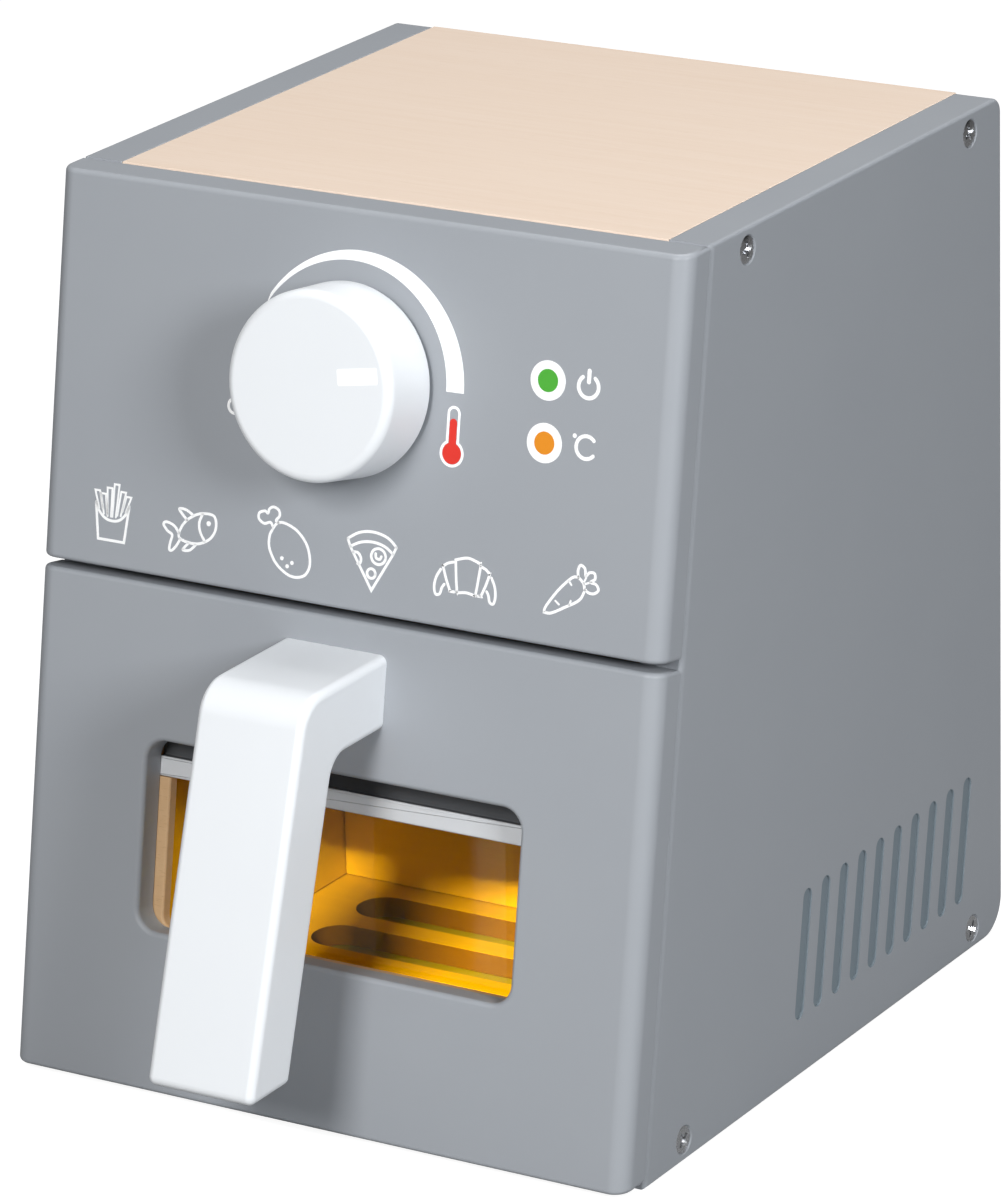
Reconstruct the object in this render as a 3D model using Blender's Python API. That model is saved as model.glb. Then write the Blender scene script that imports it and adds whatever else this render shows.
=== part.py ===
# Toy air fryer in lacquered board and beech, built as separate pieces at real size.
# Metres, +Z up, the slanted front faces -Y, and the feet of the side boards stand on z = 0.
import math

import bmesh
import bpy
from mathutils import Matrix, Vector

for old in list(bpy.data.objects):
    bpy.data.objects.remove(old)

# Case
CASE_WIDTH = 0.1735
CASE_DEPTH = 0.1835
CASE_HEIGHT = 0.2200
LEAN = math.radians(10.0)
FIT_GAP = 0.0003
SIDE_THICK = 0.0112
SIDE_EASE = 0.0010
REAR_FOOT_RADIUS = 0.0095
REAR_TOP_RADIUS = 0.0040
BOARD_THICK = 0.0110
BOARD_REAR_SETBACK = 0.0022
BASE_FRONT_SETBACK = 0.0030
BACK_THICK = 0.0050
BACK_INSET = 0.0060
GROOVE_DEPTH = 0.0040
SHELF_THICK = 0.0080
SHELF_FRONT_SETBACK = 0.0060
SHELF_REAR_SPACE = 0.0030

# Slanted front
FRONT_THICK = 0.0100
FRONT_SIDE_RADIUS = 0.0046
FRONT_EASE = 0.0012
DRAWER_FRONT_HEIGHT = 0.12655
SPLIT_GAP = 0.0020
DRAWER_LIFT = 0.0018

# Side vents
VENT_COUNT = 10
VENT_PITCH = 0.0093
VENT_LENGTH = 0.0330
VENT_WIDTH = 0.0044
VENT_DEPTH = 0.0006
VENT_CENTRE_HEIGHT = 0.0311
VENT_CENTRE_SHARE = 0.654

# Casing screws
SCREW_LENGTH = 0.0300
SCREW_SHANK_RADIUS = 0.00175
SCREW_HEAD_RADIUS = 0.0034
SCREW_HEAD_HEIGHT = 0.0024
SCREW_RIM_HEIGHT = 0.0002
SCREW_SINK = 0.0002
SCREW_RECESS_WIDTH = 0.0009
SCREW_RECESS_LENGTH = 0.0040
SCREW_RECESS_DEPTH = 0.0014
SCREW_FRONT_INSET = 0.0178
SCREW_REAR_INSET = 0.0167

# Wooden dowels
DOWEL_RADIUS = 0.0030
DOWEL_LENGTH = 0.0200
DOWEL_FRONT_DEPTH = 0.0062
PANEL_DOWEL_SHARES = (0.18, 0.80)
FRONT_DOWEL_SHARES = (0.33, 0.66)
BACK_DOWEL_SHARES = (0.28, 0.72)
BACK_DOWEL_INWARD_SHARE = 0.6

# Drawer box
FLOOR_CLEARANCE = 0.0005
FLOOR_THICK = 0.0055
DRAWER_SIDE_THICK = 0.0118
DRAWER_SIDE_HEIGHT = 0.0827
DRAWER_BACK_THICK = 0.0105
DRAWER_REAR = 0.1110
SHELF_CLEARANCE = 0.0012
GUIDE_THICK = 0.0042
GUIDE_HEIGHT = 0.0120
GUIDE_BOTTOM = 0.0300
GUIDE_FRONT_SETBACK = 0.0120
GUIDE_REAR_SPACE = 0.0080
GUIDE_CLEARANCE = 0.0006
SLOT_COUNT = 4
SLOT_WIDTH = 0.0140
SLOT_BAR = 0.0070
SLOT_END_MARGIN = 0.0134
FLOOR_SCREW_LENGTH = 0.0180
FLOOR_SCREW_SHARES = (0.16, 0.84)

# Window
WINDOW_RADIUS = 0.0054
WINDOW_FOOT_SHARE = 0.3285
WINDOW_FRONT_WALL = 0.0067
FRAME_LIP_SIDE = 0.0029
FRAME_LIP_FOOT = 0.0008
FRAME_LAP = 0.0029
RAIL_DROP = 0.0102
PANE_THICK = 0.0030
PANE_CORNER_RADIUS = 0.0030
PANE_SIDE_CLEARANCE = 0.00185
PANE_SIDE_LAP = 0.0042
PANE_END_LAP = 0.0110
PANE_HEAD_CLEARANCE = 0.0031
PANE_SCREW_LAP = 0.0077
PANE_SCREW_SIDE_SHARE = 0.86
PANE_SCREW_LENGTH = 0.0090
PANE_SCREW_SHANK_RADIUS = 0.0013
PANE_SCREW_HEAD_RADIUS = 0.0028
PANE_SCREW_HEAD_HEIGHT = 0.0018

# Handle
HANDLE_X = -0.00115
HANDLE_WIDTH = 0.0294
HANDLE_TOP_DROP = 0.0087
HANDLE_ARM_THICK = 0.0177
HANDLE_STEM_THICK = 0.0165
HANDLE_REACH = 0.0318
HANDLE_FOOT_HEIGHT = 0.0268
HANDLE_LEAN = math.radians(18.3)
HANDLE_OUTER_RADIUS = 0.0100
HANDLE_INNER_RADIUS = 0.0070
HANDLE_EASE = 0.0020
HANDLE_SCREW_SPREAD = 0.0070
HANDLE_SCREW_DROP = 0.00345
HANDLE_SCREW_LENGTH = 0.0320
HANDLE_SCREW_SHANK_RADIUS = 0.0019
HANDLE_SCREW_HEAD_RADIUS = 0.0042
HANDLE_SCREW_HEAD_HEIGHT = 0.0024

# Dial
DIAL_X = -0.0015
DIAL_HEIGHT_SHARE = 0.579
DIAL_RADIUS = 0.0233
DIAL_TAPER = 0.0006
DIAL_REACH = 0.0183
DIAL_LIFT = 0.0012
DIAL_RIM_RADIUS = 0.0024
DIAL_BACK_EASE = 0.0006
AXLE_RADIUS = 0.0040
AXLE_PLAY = 0.0004
AXLE_SOCKET_DEPTH = 0.0090
WASHER_RADIUS = 0.0110
COLLAR_RADIUS = 0.0120
COLLAR_THICK = 0.0060
COLLAR_PLAY = 0.0005
COLLAR_EASE = 0.0008
DIAL_SCREW_LENGTH = 0.0120
DIAL_SCREW_SHANK_RADIUS = 0.0015
DIAL_SCREW_HEAD_RADIUS = 0.0060
DIAL_SCREW_HEAD_HEIGHT = 0.0020

# One overrun serves every cutter
OVERRUN = 0.0020
SMOOTH_ANGLE = math.radians(35)

# Words that name the copies of a piece
SIDES = ((-1, "left"), (1, "right"))
LEVELS = ("low", "high")

# Levels and places that follow from the sizes above
TURN = 2 * math.pi
TAN_LEAN = math.tan(LEAN)
COS_LEAN = math.cos(LEAN)
SIN_LEAN = math.sin(LEAN)
HALF_WIDTH = CASE_WIDTH / 2
INNER_HALF = HALF_WIDTH - SIDE_THICK
FRONT_BACK = FRONT_THICK + FIT_GAP
FACE_FOOT_Y = -FRONT_BACK / COS_LEAN
BACK_FRONT_Y = CASE_DEPTH - BACK_INSET - BACK_THICK
GUIDE_INNER = INNER_HALF - FIT_GAP - GUIDE_THICK
BOX_HALF = GUIDE_INNER - GUIDE_CLEARANCE
BOX_INNER = BOX_HALF - DRAWER_SIDE_THICK
BOX_WALL_X = BOX_HALF - DRAWER_SIDE_THICK / 2
FLOOR_LOW = BOARD_THICK + FLOOR_CLEARANCE
FLOOR_TOP = FLOOR_LOW + FLOOR_THICK
BOX_LOW = FLOOR_TOP + FIT_GAP
BOX_TOP = BOX_LOW + DRAWER_SIDE_HEIGHT
BOX_BACK_FACE = DRAWER_REAR - DRAWER_BACK_THICK
SHELF_LOW = BOX_TOP + SHELF_CLEARANCE
SHELF_FRONT_Y = SHELF_LOW * TAN_LEAN + SHELF_FRONT_SETBACK
SHELF_REAR_Y = BACK_FRONT_Y - SHELF_REAR_SPACE
PANEL_FOOT = DRAWER_FRONT_HEIGHT + SPLIT_GAP
PANEL_HEAD = CASE_HEIGHT / COS_LEAN
DIAL_HEIGHT = PANEL_FOOT + DIAL_HEIGHT_SHARE * (PANEL_HEAD - PANEL_FOOT)
PANE_HALF = BOX_INNER - PANE_SIDE_CLEARANCE
WINDOW_HALF = PANE_HALF - PANE_SIDE_LAP
HANDLE_TOP = DRAWER_FRONT_HEIGHT * COS_LEAN - HANDLE_TOP_DROP + FRONT_BACK * SIN_LEAN
HANDLE_SCREW_HEIGHT = (HANDLE_TOP - HANDLE_ARM_THICK / 2 - HANDLE_SCREW_DROP) / COS_LEAN
PANE_HEAD = HANDLE_SCREW_HEIGHT - HANDLE_SCREW_HEAD_RADIUS - PANE_HEAD_CLEARANCE
WINDOW_LOW = WINDOW_FOOT_SHARE * DRAWER_FRONT_HEIGHT
WINDOW_HIGH = PANE_HEAD - PANE_END_LAP


def linear(channel):
    """Turn one sRGB channel into the linear value that a shader takes."""
    if channel <= 0.04045:
        return channel / 12.92
    return ((channel + 0.055) / 1.055) ** 2.4


def material(name, red, green, blue, roughness, metallic=0.0, alpha=1.0):
    """Make a Principled material from an sRGB colour given as 0 to 255."""
    mat = bpy.data.materials.new(name)
    mat.use_nodes = True
    shader = mat.node_tree.nodes["Principled BSDF"]
    rgb = [linear(c / 255) for c in (red, green, blue)]
    shader.inputs["Base Color"].default_value = (*rgb, 1.0)
    shader.inputs["Roughness"].default_value = roughness
    shader.inputs["Metallic"].default_value = metallic
    shader.inputs["Alpha"].default_value = alpha
    mat.diffuse_color = (*rgb, alpha)
    return mat


def empty(name, parent=None, location=(0, 0, 0), rotation=(0, 0, 0)):
    """Add an empty that carries pieces and stands on a joint or a datum."""
    obj = bpy.data.objects.new(name, None)
    bpy.context.collection.objects.link(obj)
    obj.parent = parent
    obj.location = location
    obj.rotation_euler = rotation
    return obj


def finished_mesh(name, bm, mat, round_angle=None):
    """Turn a bmesh into a mesh with a material, shaded smooth where it is round."""
    bmesh.ops.recalc_face_normals(bm, faces=bm.faces)
    mesh = bpy.data.meshes.new(name)
    bm.to_mesh(mesh)
    bm.free()
    if round_angle is not None:
        mesh.shade_smooth()
        mesh.set_sharp_from_angle(angle=round_angle)
    if mat is not None:
        mesh.materials.append(mat)
    return mesh


def place(name, mesh, parent, matrix):
    """Add an object that may share its mesh with others, at a place in its parent's frame."""
    obj = bpy.data.objects.new(name, mesh)
    bpy.context.collection.objects.link(obj)
    obj.parent = parent
    obj.matrix_local = matrix
    return obj


def piece(name, bm, mat, parent, matrix=None, round_angle=None):
    """Turn a bmesh into a named object with its own material."""
    mesh = finished_mesh(name, bm, mat, round_angle)
    return place(name, mesh, parent, matrix if matrix else Matrix())


def cut(target, name, bm, parent=None):
    """Subtract a closed cutter mesh from a piece with an exact Boolean."""
    cutter = piece(name, bm, None, parent if parent else target.parent)
    cutter.hide_render = True
    cutter.display_type = "WIRE"
    modifier = target.modifiers.new(name, "BOOLEAN")
    modifier.operation = "DIFFERENCE"
    modifier.solver = "EXACT"
    modifier.object = cutter


def carved_mesh(name, bm, cutter_bm, mat, round_angle):
    """Cut one small shape out of another and give back the mesh, for copies to share."""
    body = piece(name, bm, mat, None)
    cut(body, name + "_cutter", cutter_bm)
    graph = bpy.context.evaluated_depsgraph_get()
    mesh = bpy.data.meshes.new_from_object(body.evaluated_get(graph))
    mesh.shade_smooth()
    mesh.set_sharp_from_angle(angle=round_angle)
    for modifier in body.modifiers:
        bpy.data.objects.remove(modifier.object)
    bpy.data.objects.remove(body)
    return mesh


def arc(centre, radius, start, end, steps):
    """List points on an arc, from one angle to another."""
    points = []
    for i in range(steps + 1):
        angle = start + (end - start) * i / steps
        points.append((centre[0] + radius * math.cos(angle), centre[1] + radius * math.sin(angle)))
    return points


def rounded_rectangle(left, right, low, high, radius, steps=4):
    """Outline a rectangle with rounded corners, counterclockwise."""
    quarter = TURN / 4
    corners = [
        ((right - radius, low + radius), -quarter),
        ((right - radius, high - radius), 0),
        ((left + radius, high - radius), quarter),
        ((left + radius, low + radius), 2 * quarter),
    ]
    points = []
    for centre, start in corners:
        points += arc(centre, radius, start, start + quarter, steps)
    return points


def capsule(centre, length, width, tilt=0.0, steps=6):
    """Outline a slot with full round ends, its length along the second axis before the tilt."""
    reach = (length - width) / 2
    ends = arc((0, reach), width / 2, 0, TURN / 2, steps)
    ends += arc((0, -reach), width / 2, TURN / 2, TURN, steps)
    cos_tilt, sin_tilt = math.cos(tilt), math.sin(tilt)
    return [
        (centre[0] + a * cos_tilt + b * sin_tilt, centre[1] - a * sin_tilt + b * cos_tilt)
        for a, b in ends
    ]


def along_x(a, b, t):
    return Vector((t, a, b))


def along_y(a, b, t):
    return Vector((a, t, b))


def along_z(a, b, t):
    return Vector((a, b, t))


def add_prism(bm, outline, low, high, lay):
    """Add a closed prism. low and high are levels, or functions of the outline's point."""

    def level(value, a, b):
        return value(a, b) if callable(value) else value

    bottom = [bm.verts.new(lay(a, b, level(low, a, b))) for a, b in outline]
    top = [bm.verts.new(lay(a, b, level(high, a, b))) for a, b in outline]
    count = len(outline)
    bm.faces.new(list(reversed(bottom)))
    bm.faces.new(top)
    for i in range(count):
        j = (i + 1) % count
        bm.faces.new((bottom[i], bottom[j], top[j], top[i]))
    return bottom, top


def prism(outline, low, high, lay):
    """Make a bmesh that holds one prism."""
    bm = bmesh.new()
    add_prism(bm, outline, low, high, lay)
    return bm


def box(bm, x0, x1, y0, y1, z0, z1):
    """Add a closed box."""
    add_prism(bm, [(x0, y0), (x1, y0), (x1, y1), (x0, y1)], z0, z1, along_z)


def ease(bm, keep, radius, segments=2):
    """Round the edges for which keep says yes of both ends."""
    edges = [e for e in bm.edges if keep(e.verts[0].co) and keep(e.verts[1].co)]
    bmesh.ops.bevel(bm, geom=edges, offset=radius, segments=segments, profile=0.5, affect="EDGES")


def add_turned(bm, profile, segments, matrix=None, closed=False):
    """Turn a profile of (radius, height) points round Z. A point at radius zero is on the axis."""
    matrix = matrix if matrix else Matrix()
    rings = []
    for radius, height in profile:
        if radius == 0:
            rings.append([bm.verts.new(matrix @ Vector((0, 0, height)))])
            continue
        ring = []
        for i in range(segments):
            angle = TURN * i / segments
            spot = Vector((radius * math.cos(angle), radius * math.sin(angle), height))
            ring.append(bm.verts.new(matrix @ spot))
        rings.append(ring)
    pairs = list(zip(rings, rings[1:]))
    if closed:
        pairs.append((rings[-1], rings[0]))
    for lower, upper in pairs:
        for i in range(segments):
            j = (i + 1) % segments
            if len(lower) == 1:
                bm.faces.new((lower[0], upper[j], upper[i]))
            elif len(upper) == 1:
                bm.faces.new((lower[i], lower[j], upper[0]))
            else:
                bm.faces.new((lower[i], lower[j], upper[j], upper[i]))


def turned(profile, segments, closed=False):
    """Make a bmesh that holds one turned shape."""
    bm = bmesh.new()
    add_turned(bm, profile, segments, closed=closed)
    return bm


def rod_profile(radius, low, high):
    """Profile of a plain rod from one height to another."""
    return [(0, low), (radius, low), (radius, high), (0, high)]


def aim(spot, direction):
    """Matrix that puts a turned shape at a spot, with its +Z along a direction."""
    turn = Vector((0, 0, 1)).rotation_difference(Vector(direction)).to_matrix().to_4x4()
    return Matrix.Translation(spot) @ turn


def slant_level(height):
    """Distance up the slanted face at which a level plane of this height cuts a given depth."""
    return lambda a, b: (height + b * SIN_LEAN) / COS_LEAN


def slanted_outline(low, high, rear):
    """Outline in Y and Z of a board whose front edge follows the lean."""
    return [(low * TAN_LEAN, low), (rear, low), (rear, high), (high * TAN_LEAN, high)]


def countersunk(length):
    """Profile of a countersunk wood screw, its head's flat face at height zero."""
    tip = SCREW_SHANK_RADIUS * 2
    return [
        (0, -length),
        (SCREW_SHANK_RADIUS, tip - length),
        (SCREW_SHANK_RADIUS, -SCREW_HEAD_HEIGHT),
        (SCREW_HEAD_RADIUS, -SCREW_RIM_HEIGHT),
        (SCREW_HEAD_RADIUS, 0),
        (0, 0),
    ]


def countersunk_hole(length):
    """Profile of the hole for that screw, with a fit gap all round and an open mouth."""
    wide = SCREW_HEAD_RADIUS + FIT_GAP
    narrow = SCREW_SHANK_RADIUS + FIT_GAP
    return [
        (0, -length - FIT_GAP),
        (narrow, -length - FIT_GAP),
        (narrow, -SCREW_HEAD_HEIGHT - FIT_GAP),
        (wide, -FIT_GAP),
        (wide, OVERRUN),
        (0, OVERRUN),
    ]


def pan_head(length, shank_radius, head_radius, head_height):
    """Profile of a pan head screw, the underside of its head at height zero."""
    return [
        (0, -length),
        (shank_radius, shank_radius * 2 - length),
        (shank_radius, 0),
        (head_radius, 0),
        (head_radius, head_height / 2),
        (head_radius * 3 / 4, head_height),
        (0, head_height),
    ]


def casing_screw_spots():
    """Name, Y and Z of the four screws in each side board."""
    top = CASE_HEIGHT - BOARD_THICK / 2
    foot = BOARD_THICK / 2
    rear = CASE_DEPTH - SCREW_REAR_INSET
    return [
        ("top_front", top * TAN_LEAN + SCREW_FRONT_INSET, top),
        ("top_rear", rear, top),
        ("base_front", foot * TAN_LEAN + SCREW_FRONT_INSET, foot),
        ("base_rear", rear, foot),
    ]


def panel_dowel_spots():
    """Side, name, X and height up the slant of the dowels that carry the upper panel."""
    x = HALF_WIDTH - SIDE_THICK / 2
    rise = PANEL_HEAD - PANEL_FOOT
    return [
        (side, f"{word}_{level}", side * x, PANEL_FOOT + share * rise)
        for side, word in SIDES
        for level, share in zip(LEVELS, PANEL_DOWEL_SHARES)
    ]


def front_dowel_spots():
    """Side, name, X and height up the slant of the dowels between drawer front and sides."""
    low = BOX_LOW / COS_LEAN
    rise = DRAWER_SIDE_HEIGHT / COS_LEAN
    return [
        (side, f"{word}_{level}", side * BOX_WALL_X, low + share * rise)
        for side, word in SIDES
        for level, share in zip(LEVELS, FRONT_DOWEL_SHARES)
    ]


def back_dowel_spots():
    """Side, name, Y and Z of the dowels between the drawer's back and its sides."""
    y = DRAWER_REAR - DRAWER_BACK_THICK / 2
    return [
        (side, f"{word}_{level}", y, BOX_LOW + share * DRAWER_SIDE_HEIGHT)
        for side, word in SIDES
        for level, share in zip(LEVELS, BACK_DOWEL_SHARES)
    ]


def pane_screw_spots():
    """Name, X and height up the slant of the screws through the pane's margins."""
    x = PANE_SCREW_SIDE_SHARE * WINDOW_HALF
    heights = (WINDOW_LOW - PANE_SCREW_LAP, WINDOW_HIGH + PANE_SCREW_LAP)
    return [
        (f"{word}_{level}", side * x, height)
        for side, word in SIDES
        for level, height in zip(LEVELS, heights)
    ]


def handle_outline():
    """Outline in Y and Z of the handle, in the case's own frame."""
    tan_stem = math.tan(HANDLE_LEAN)
    root_top = HANDLE_TOP
    root_low = root_top - HANDLE_ARM_THICK
    seat = FACE_FOOT_Y - FIT_GAP / COS_LEAN
    top_seat = seat + root_top * TAN_LEAN
    low_seat = seat + root_low * TAN_LEAN
    outer_top = low_seat - HANDLE_REACH
    inner_top = outer_top + HANDLE_STEM_THICK / math.cos(HANDLE_LEAN)
    drop = root_top - HANDLE_FOOT_HEIGHT
    bend = (TURN / 4 - HANDLE_LEAN) / 2
    outer_reach = HANDLE_OUTER_RADIUS * math.tan(bend)
    inner_reach = HANDLE_INNER_RADIUS * math.tan(bend)
    inner_corner = inner_top - HANDLE_ARM_THICK * tan_stem
    outer_centre = (outer_top + outer_reach, root_top - HANDLE_OUTER_RADIUS)
    inner_centre = (inner_corner + inner_reach, root_low - HANDLE_INNER_RADIUS)
    stem_angle = TURN / 2 - HANDLE_LEAN
    outer_arc = arc(outer_centre, HANDLE_OUTER_RADIUS, TURN / 4, stem_angle, 6)
    inner_arc = arc(inner_centre, HANDLE_INNER_RADIUS, stem_angle, TURN / 4, 5)
    foot = [
        (outer_top - drop * tan_stem, HANDLE_FOOT_HEIGHT),
        (inner_top - drop * tan_stem, HANDLE_FOOT_HEIGHT),
    ]
    return [(top_seat, root_top)] + outer_arc + foot + inner_arc + [(low_seat, root_low)]


def handle_shape():
    """Make the bent handle's solid, its edges rounded everywhere but at its seat."""
    half = HANDLE_WIDTH / 2
    bm = prism(handle_outline(), HANDLE_X - half, HANDLE_X + half, along_x)
    seat = FACE_FOOT_Y - FIT_GAP / COS_LEAN

    def clear_of_seat(co):
        return co.y < seat + co.z * TAN_LEAN - FIT_GAP

    def at_foot(co):
        return abs(co.z - HANDLE_FOOT_HEIGHT) < FIT_GAP

    edges = []
    for edge in bm.edges:
        one, other = (v.co for v in edge.verts)
        round_edge = one.x == other.x or at_foot(one) and at_foot(other)
        if round_edge and (clear_of_seat(one) or clear_of_seat(other)):
            edges.append(edge)
    bmesh.ops.bevel(bm, geom=edges, offset=HANDLE_EASE, segments=3, profile=0.5, affect="EDGES")
    return bm


def dial_spot():
    """Place of the dial's axis on the slanted face."""
    return (DIAL_X, 0, DIAL_HEIGHT)


grey_lacquer = material("grey_lacquer", 158, 162, 168, 0.42)
white_lacquer = material("white_lacquer", 238, 241, 244, 0.35)
pale_lacquer = material("pale_grey_lacquer", 204, 206, 209, 0.45)
beech = material("beech", 206, 172, 130, 0.55)
pale_veneer = material("pale_veneer", 232, 214, 198, 0.50)
plywood = material("plywood", 214, 184, 142, 0.60)
amber = material("amber_acrylic", 240, 168, 24, 0.08, alpha=0.45)
zinc_steel = material("zinc_steel", 186, 188, 192, 0.30, metallic=1.0)
felt = material("grey_felt", 96, 98, 102, 0.95)

handle_bm = handle_shape()
front_reach = min(v.co.y for v in handle_bm.verts)
middle = (front_reach + CASE_DEPTH) / 2
case_frame = empty("case_frame", location=(0, -middle, 0))
front_frame = empty("front_frame", case_frame, (0, FACE_FOOT_Y, 0), (-LEAN, 0, 0))
drawer_frame = empty("drawer_frame", case_frame)
drawer_front_frame = empty("drawer_front_frame", drawer_frame, (0, FACE_FOOT_Y, 0), (-LEAN, 0, 0))
dial_frame = empty("dial_frame", front_frame, dial_spot(), (TURN / 4, 0, 0))


def side_outline():
    """Outline in Y and Z of a side board, with its rear corners rounded."""
    quarter = TURN / 4
    foot_centre = (CASE_DEPTH - REAR_FOOT_RADIUS, REAR_FOOT_RADIUS)
    top_centre = (CASE_DEPTH - REAR_TOP_RADIUS, CASE_HEIGHT - REAR_TOP_RADIUS)
    points = [(0, 0)]
    points += arc(foot_centre, REAR_FOOT_RADIUS, -quarter, 0, 5)
    points += arc(top_centre, REAR_TOP_RADIUS, 0, quarter, 4)
    points.append((CASE_HEIGHT * TAN_LEAN, CASE_HEIGHT))
    return points


def make_side_board(name, side):
    """Cut one side board: dadoes inside, screw holes and vents outside, dowel holes in front."""
    inner = side * INNER_HALF
    outer = side * HALF_WIDTH
    bm = prism(side_outline(), inner, outer, along_x)
    ease(bm, lambda co: abs(co.x) > HALF_WIDTH - SIDE_EASE, SIDE_EASE)
    board = piece(name, bm, grey_lacquer, case_frame)

    dadoes = bmesh.new()
    floor = side * (INNER_HALF + GROOVE_DEPTH)
    mouth = side * (INNER_HALF - OVERRUN)
    x0, x1 = min(floor, mouth), max(floor, mouth)
    box(dadoes, x0, x1, BACK_FRONT_Y - FIT_GAP, BACK_FRONT_Y + BACK_THICK + FIT_GAP,
        BOARD_THICK, CASE_HEIGHT - BOARD_THICK)
    box(dadoes, x0, x1, SHELF_FRONT_Y - FIT_GAP, SHELF_REAR_Y + FIT_GAP,
        SHELF_LOW - FIT_GAP, SHELF_LOW + SHELF_THICK + FIT_GAP)
    cut(board, name + "_dado_cutter", dadoes)

    holes = bmesh.new()
    for _, y, z in casing_screw_spots():
        add_turned(holes, countersunk_hole(SCREW_LENGTH), 16, aim((outer, y, z), (side, 0, 0)))
    centre_y = VENT_CENTRE_SHARE * CASE_DEPTH
    for i in range(VENT_COUNT):
        y = centre_y + (i - (VENT_COUNT - 1) / 2) * VENT_PITCH
        outline = capsule((y, VENT_CENTRE_HEIGHT), VENT_LENGTH, VENT_WIDTH, LEAN, 4)
        ends = sorted((outer - side * VENT_DEPTH, outer + side * OVERRUN))
        add_prism(holes, outline, ends[0], ends[1], along_x)
    cut(board, name + "_outer_cutter", holes)

    sockets = bmesh.new()
    depth = FRONT_BACK + DOWEL_LENGTH - DOWEL_FRONT_DEPTH + FIT_GAP
    for which, _, x, height in panel_dowel_spots():
        if which == side:
            hole = rod_profile(DOWEL_RADIUS + FIT_GAP, FRONT_BACK - OVERRUN, depth)
            add_turned(sockets, hole, 14, aim((x, 0, height), (0, 1, 0)))
    cut(board, name + "_dowel_cutter", sockets, front_frame)


def countersunk_mesh(name, length):
    """Mesh of a countersunk screw with a cross recess in its head."""
    half = SCREW_RECESS_LENGTH / 2
    thin = SCREW_RECESS_WIDTH / 2
    plus = [(-thin, -half), (thin, -half), (thin, -thin), (half, -thin), (half, thin),
            (thin, thin), (thin, half), (-thin, half), (-thin, thin), (-half, thin),
            (-half, -thin), (-thin, -thin)]
    recess = prism(plus, -SCREW_RECESS_DEPTH, OVERRUN, along_z)
    return carved_mesh(name, turned(countersunk(length), 16), recess, zinc_steel, SMOOTH_ANGLE)


def make_casing_screws():
    """Place the cross-recessed screws that hold both side boards."""
    mesh = countersunk_mesh("casing_screw", SCREW_LENGTH)
    for side, word in SIDES:
        face = side * (HALF_WIDTH - SCREW_SINK)
        for label, y, z in casing_screw_spots():
            name = f"casing_screw_{word}_{label}"
            place(name, mesh, case_frame, aim((face, y, z), (side, 0, 0)))


def bore_screw_ends(board, level):
    """Bore the pilot holes for the casing screws into the ends of the top or the base board."""
    holes = bmesh.new()
    hole = rod_profile(SCREW_SHANK_RADIUS + FIT_GAP, -SCREW_LENGTH - FIT_GAP, OVERRUN - SIDE_THICK)
    for side in (-1, 1):
        outer = side * (HALF_WIDTH - SCREW_SINK)
        for label, y, z in casing_screw_spots():
            if label.startswith(level):
                add_turned(holes, hole, 12, aim((outer, y, z), (side, 0, 0)))
    cut(board, f"{level}_board_hole_cutter", holes)


def make_level_boards():
    """Make the veneered top board and the base board between the side boards."""
    half = INNER_HALF - FIT_GAP
    rear = CASE_DEPTH - BOARD_REAR_SETBACK
    outline = slanted_outline(CASE_HEIGHT - BOARD_THICK, CASE_HEIGHT, rear)
    top = piece("top_board", prism(outline, -half, half, along_x), pale_veneer, case_frame)
    bore_screw_ends(top, "top")
    bm = bmesh.new()
    box(bm, -half, half, BASE_FRONT_SETBACK, rear, 0, BOARD_THICK)
    base = piece("base_board", bm, grey_lacquer, case_frame)
    bore_screw_ends(base, "base")


def make_captive_boards():
    """Make the back board and the inner shelf, both held in the side boards' grooves."""
    half = INNER_HALF + GROOVE_DEPTH - FIT_GAP
    bm = bmesh.new()
    box(bm, -half, half, BACK_FRONT_Y, BACK_FRONT_Y + BACK_THICK,
        BOARD_THICK + FIT_GAP, CASE_HEIGHT - BOARD_THICK - FIT_GAP)
    piece("back_board", bm, grey_lacquer, case_frame)
    bm = bmesh.new()
    box(bm, -half, half, SHELF_FRONT_Y, SHELF_REAR_Y, SHELF_LOW, SHELF_LOW + SHELF_THICK)
    piece("inner_shelf", bm, plywood, case_frame)


def make_drawer_guides():
    """Make the two strips that keep the drawer straight between the side boards."""
    front = GUIDE_BOTTOM * TAN_LEAN + GUIDE_FRONT_SETBACK
    for side, word in SIDES:
        x0, x1 = sorted((side * GUIDE_INNER, side * (INNER_HALF - FIT_GAP)))
        bm = bmesh.new()
        box(bm, x0, x1, front, BACK_FRONT_Y - GUIDE_REAR_SPACE,
            GUIDE_BOTTOM, GUIDE_BOTTOM + GUIDE_HEIGHT)
        piece(f"drawer_guide_{word}", bm, beech, case_frame)


def front_profile():
    """Outline in X and depth of a front board, its two front corners well rounded."""
    half = HALF_WIDTH
    radius = FRONT_SIDE_RADIUS
    quarter = TURN / 4
    points = [(half, FRONT_THICK), (-half, FRONT_THICK)]
    points += arc((radius - half, radius), radius, 2 * quarter, 3 * quarter, 4)
    points += arc((half - radius, radius), radius, 3 * quarter, 4 * quarter, 4)
    return points


def front_board(low, high):
    """Make a front board from one level to another up the slant, its end edges eased."""
    bm = bmesh.new()
    bottom, top = add_prism(bm, front_profile(), low, high, along_z)
    edges = [e for ring in (bottom, top) for e in bm.edges if set(e.verts) <= set(ring)]
    bmesh.ops.bevel(bm, geom=edges, offset=FRONT_EASE, segments=2, profile=0.5, affect="EDGES")
    return bm


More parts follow.
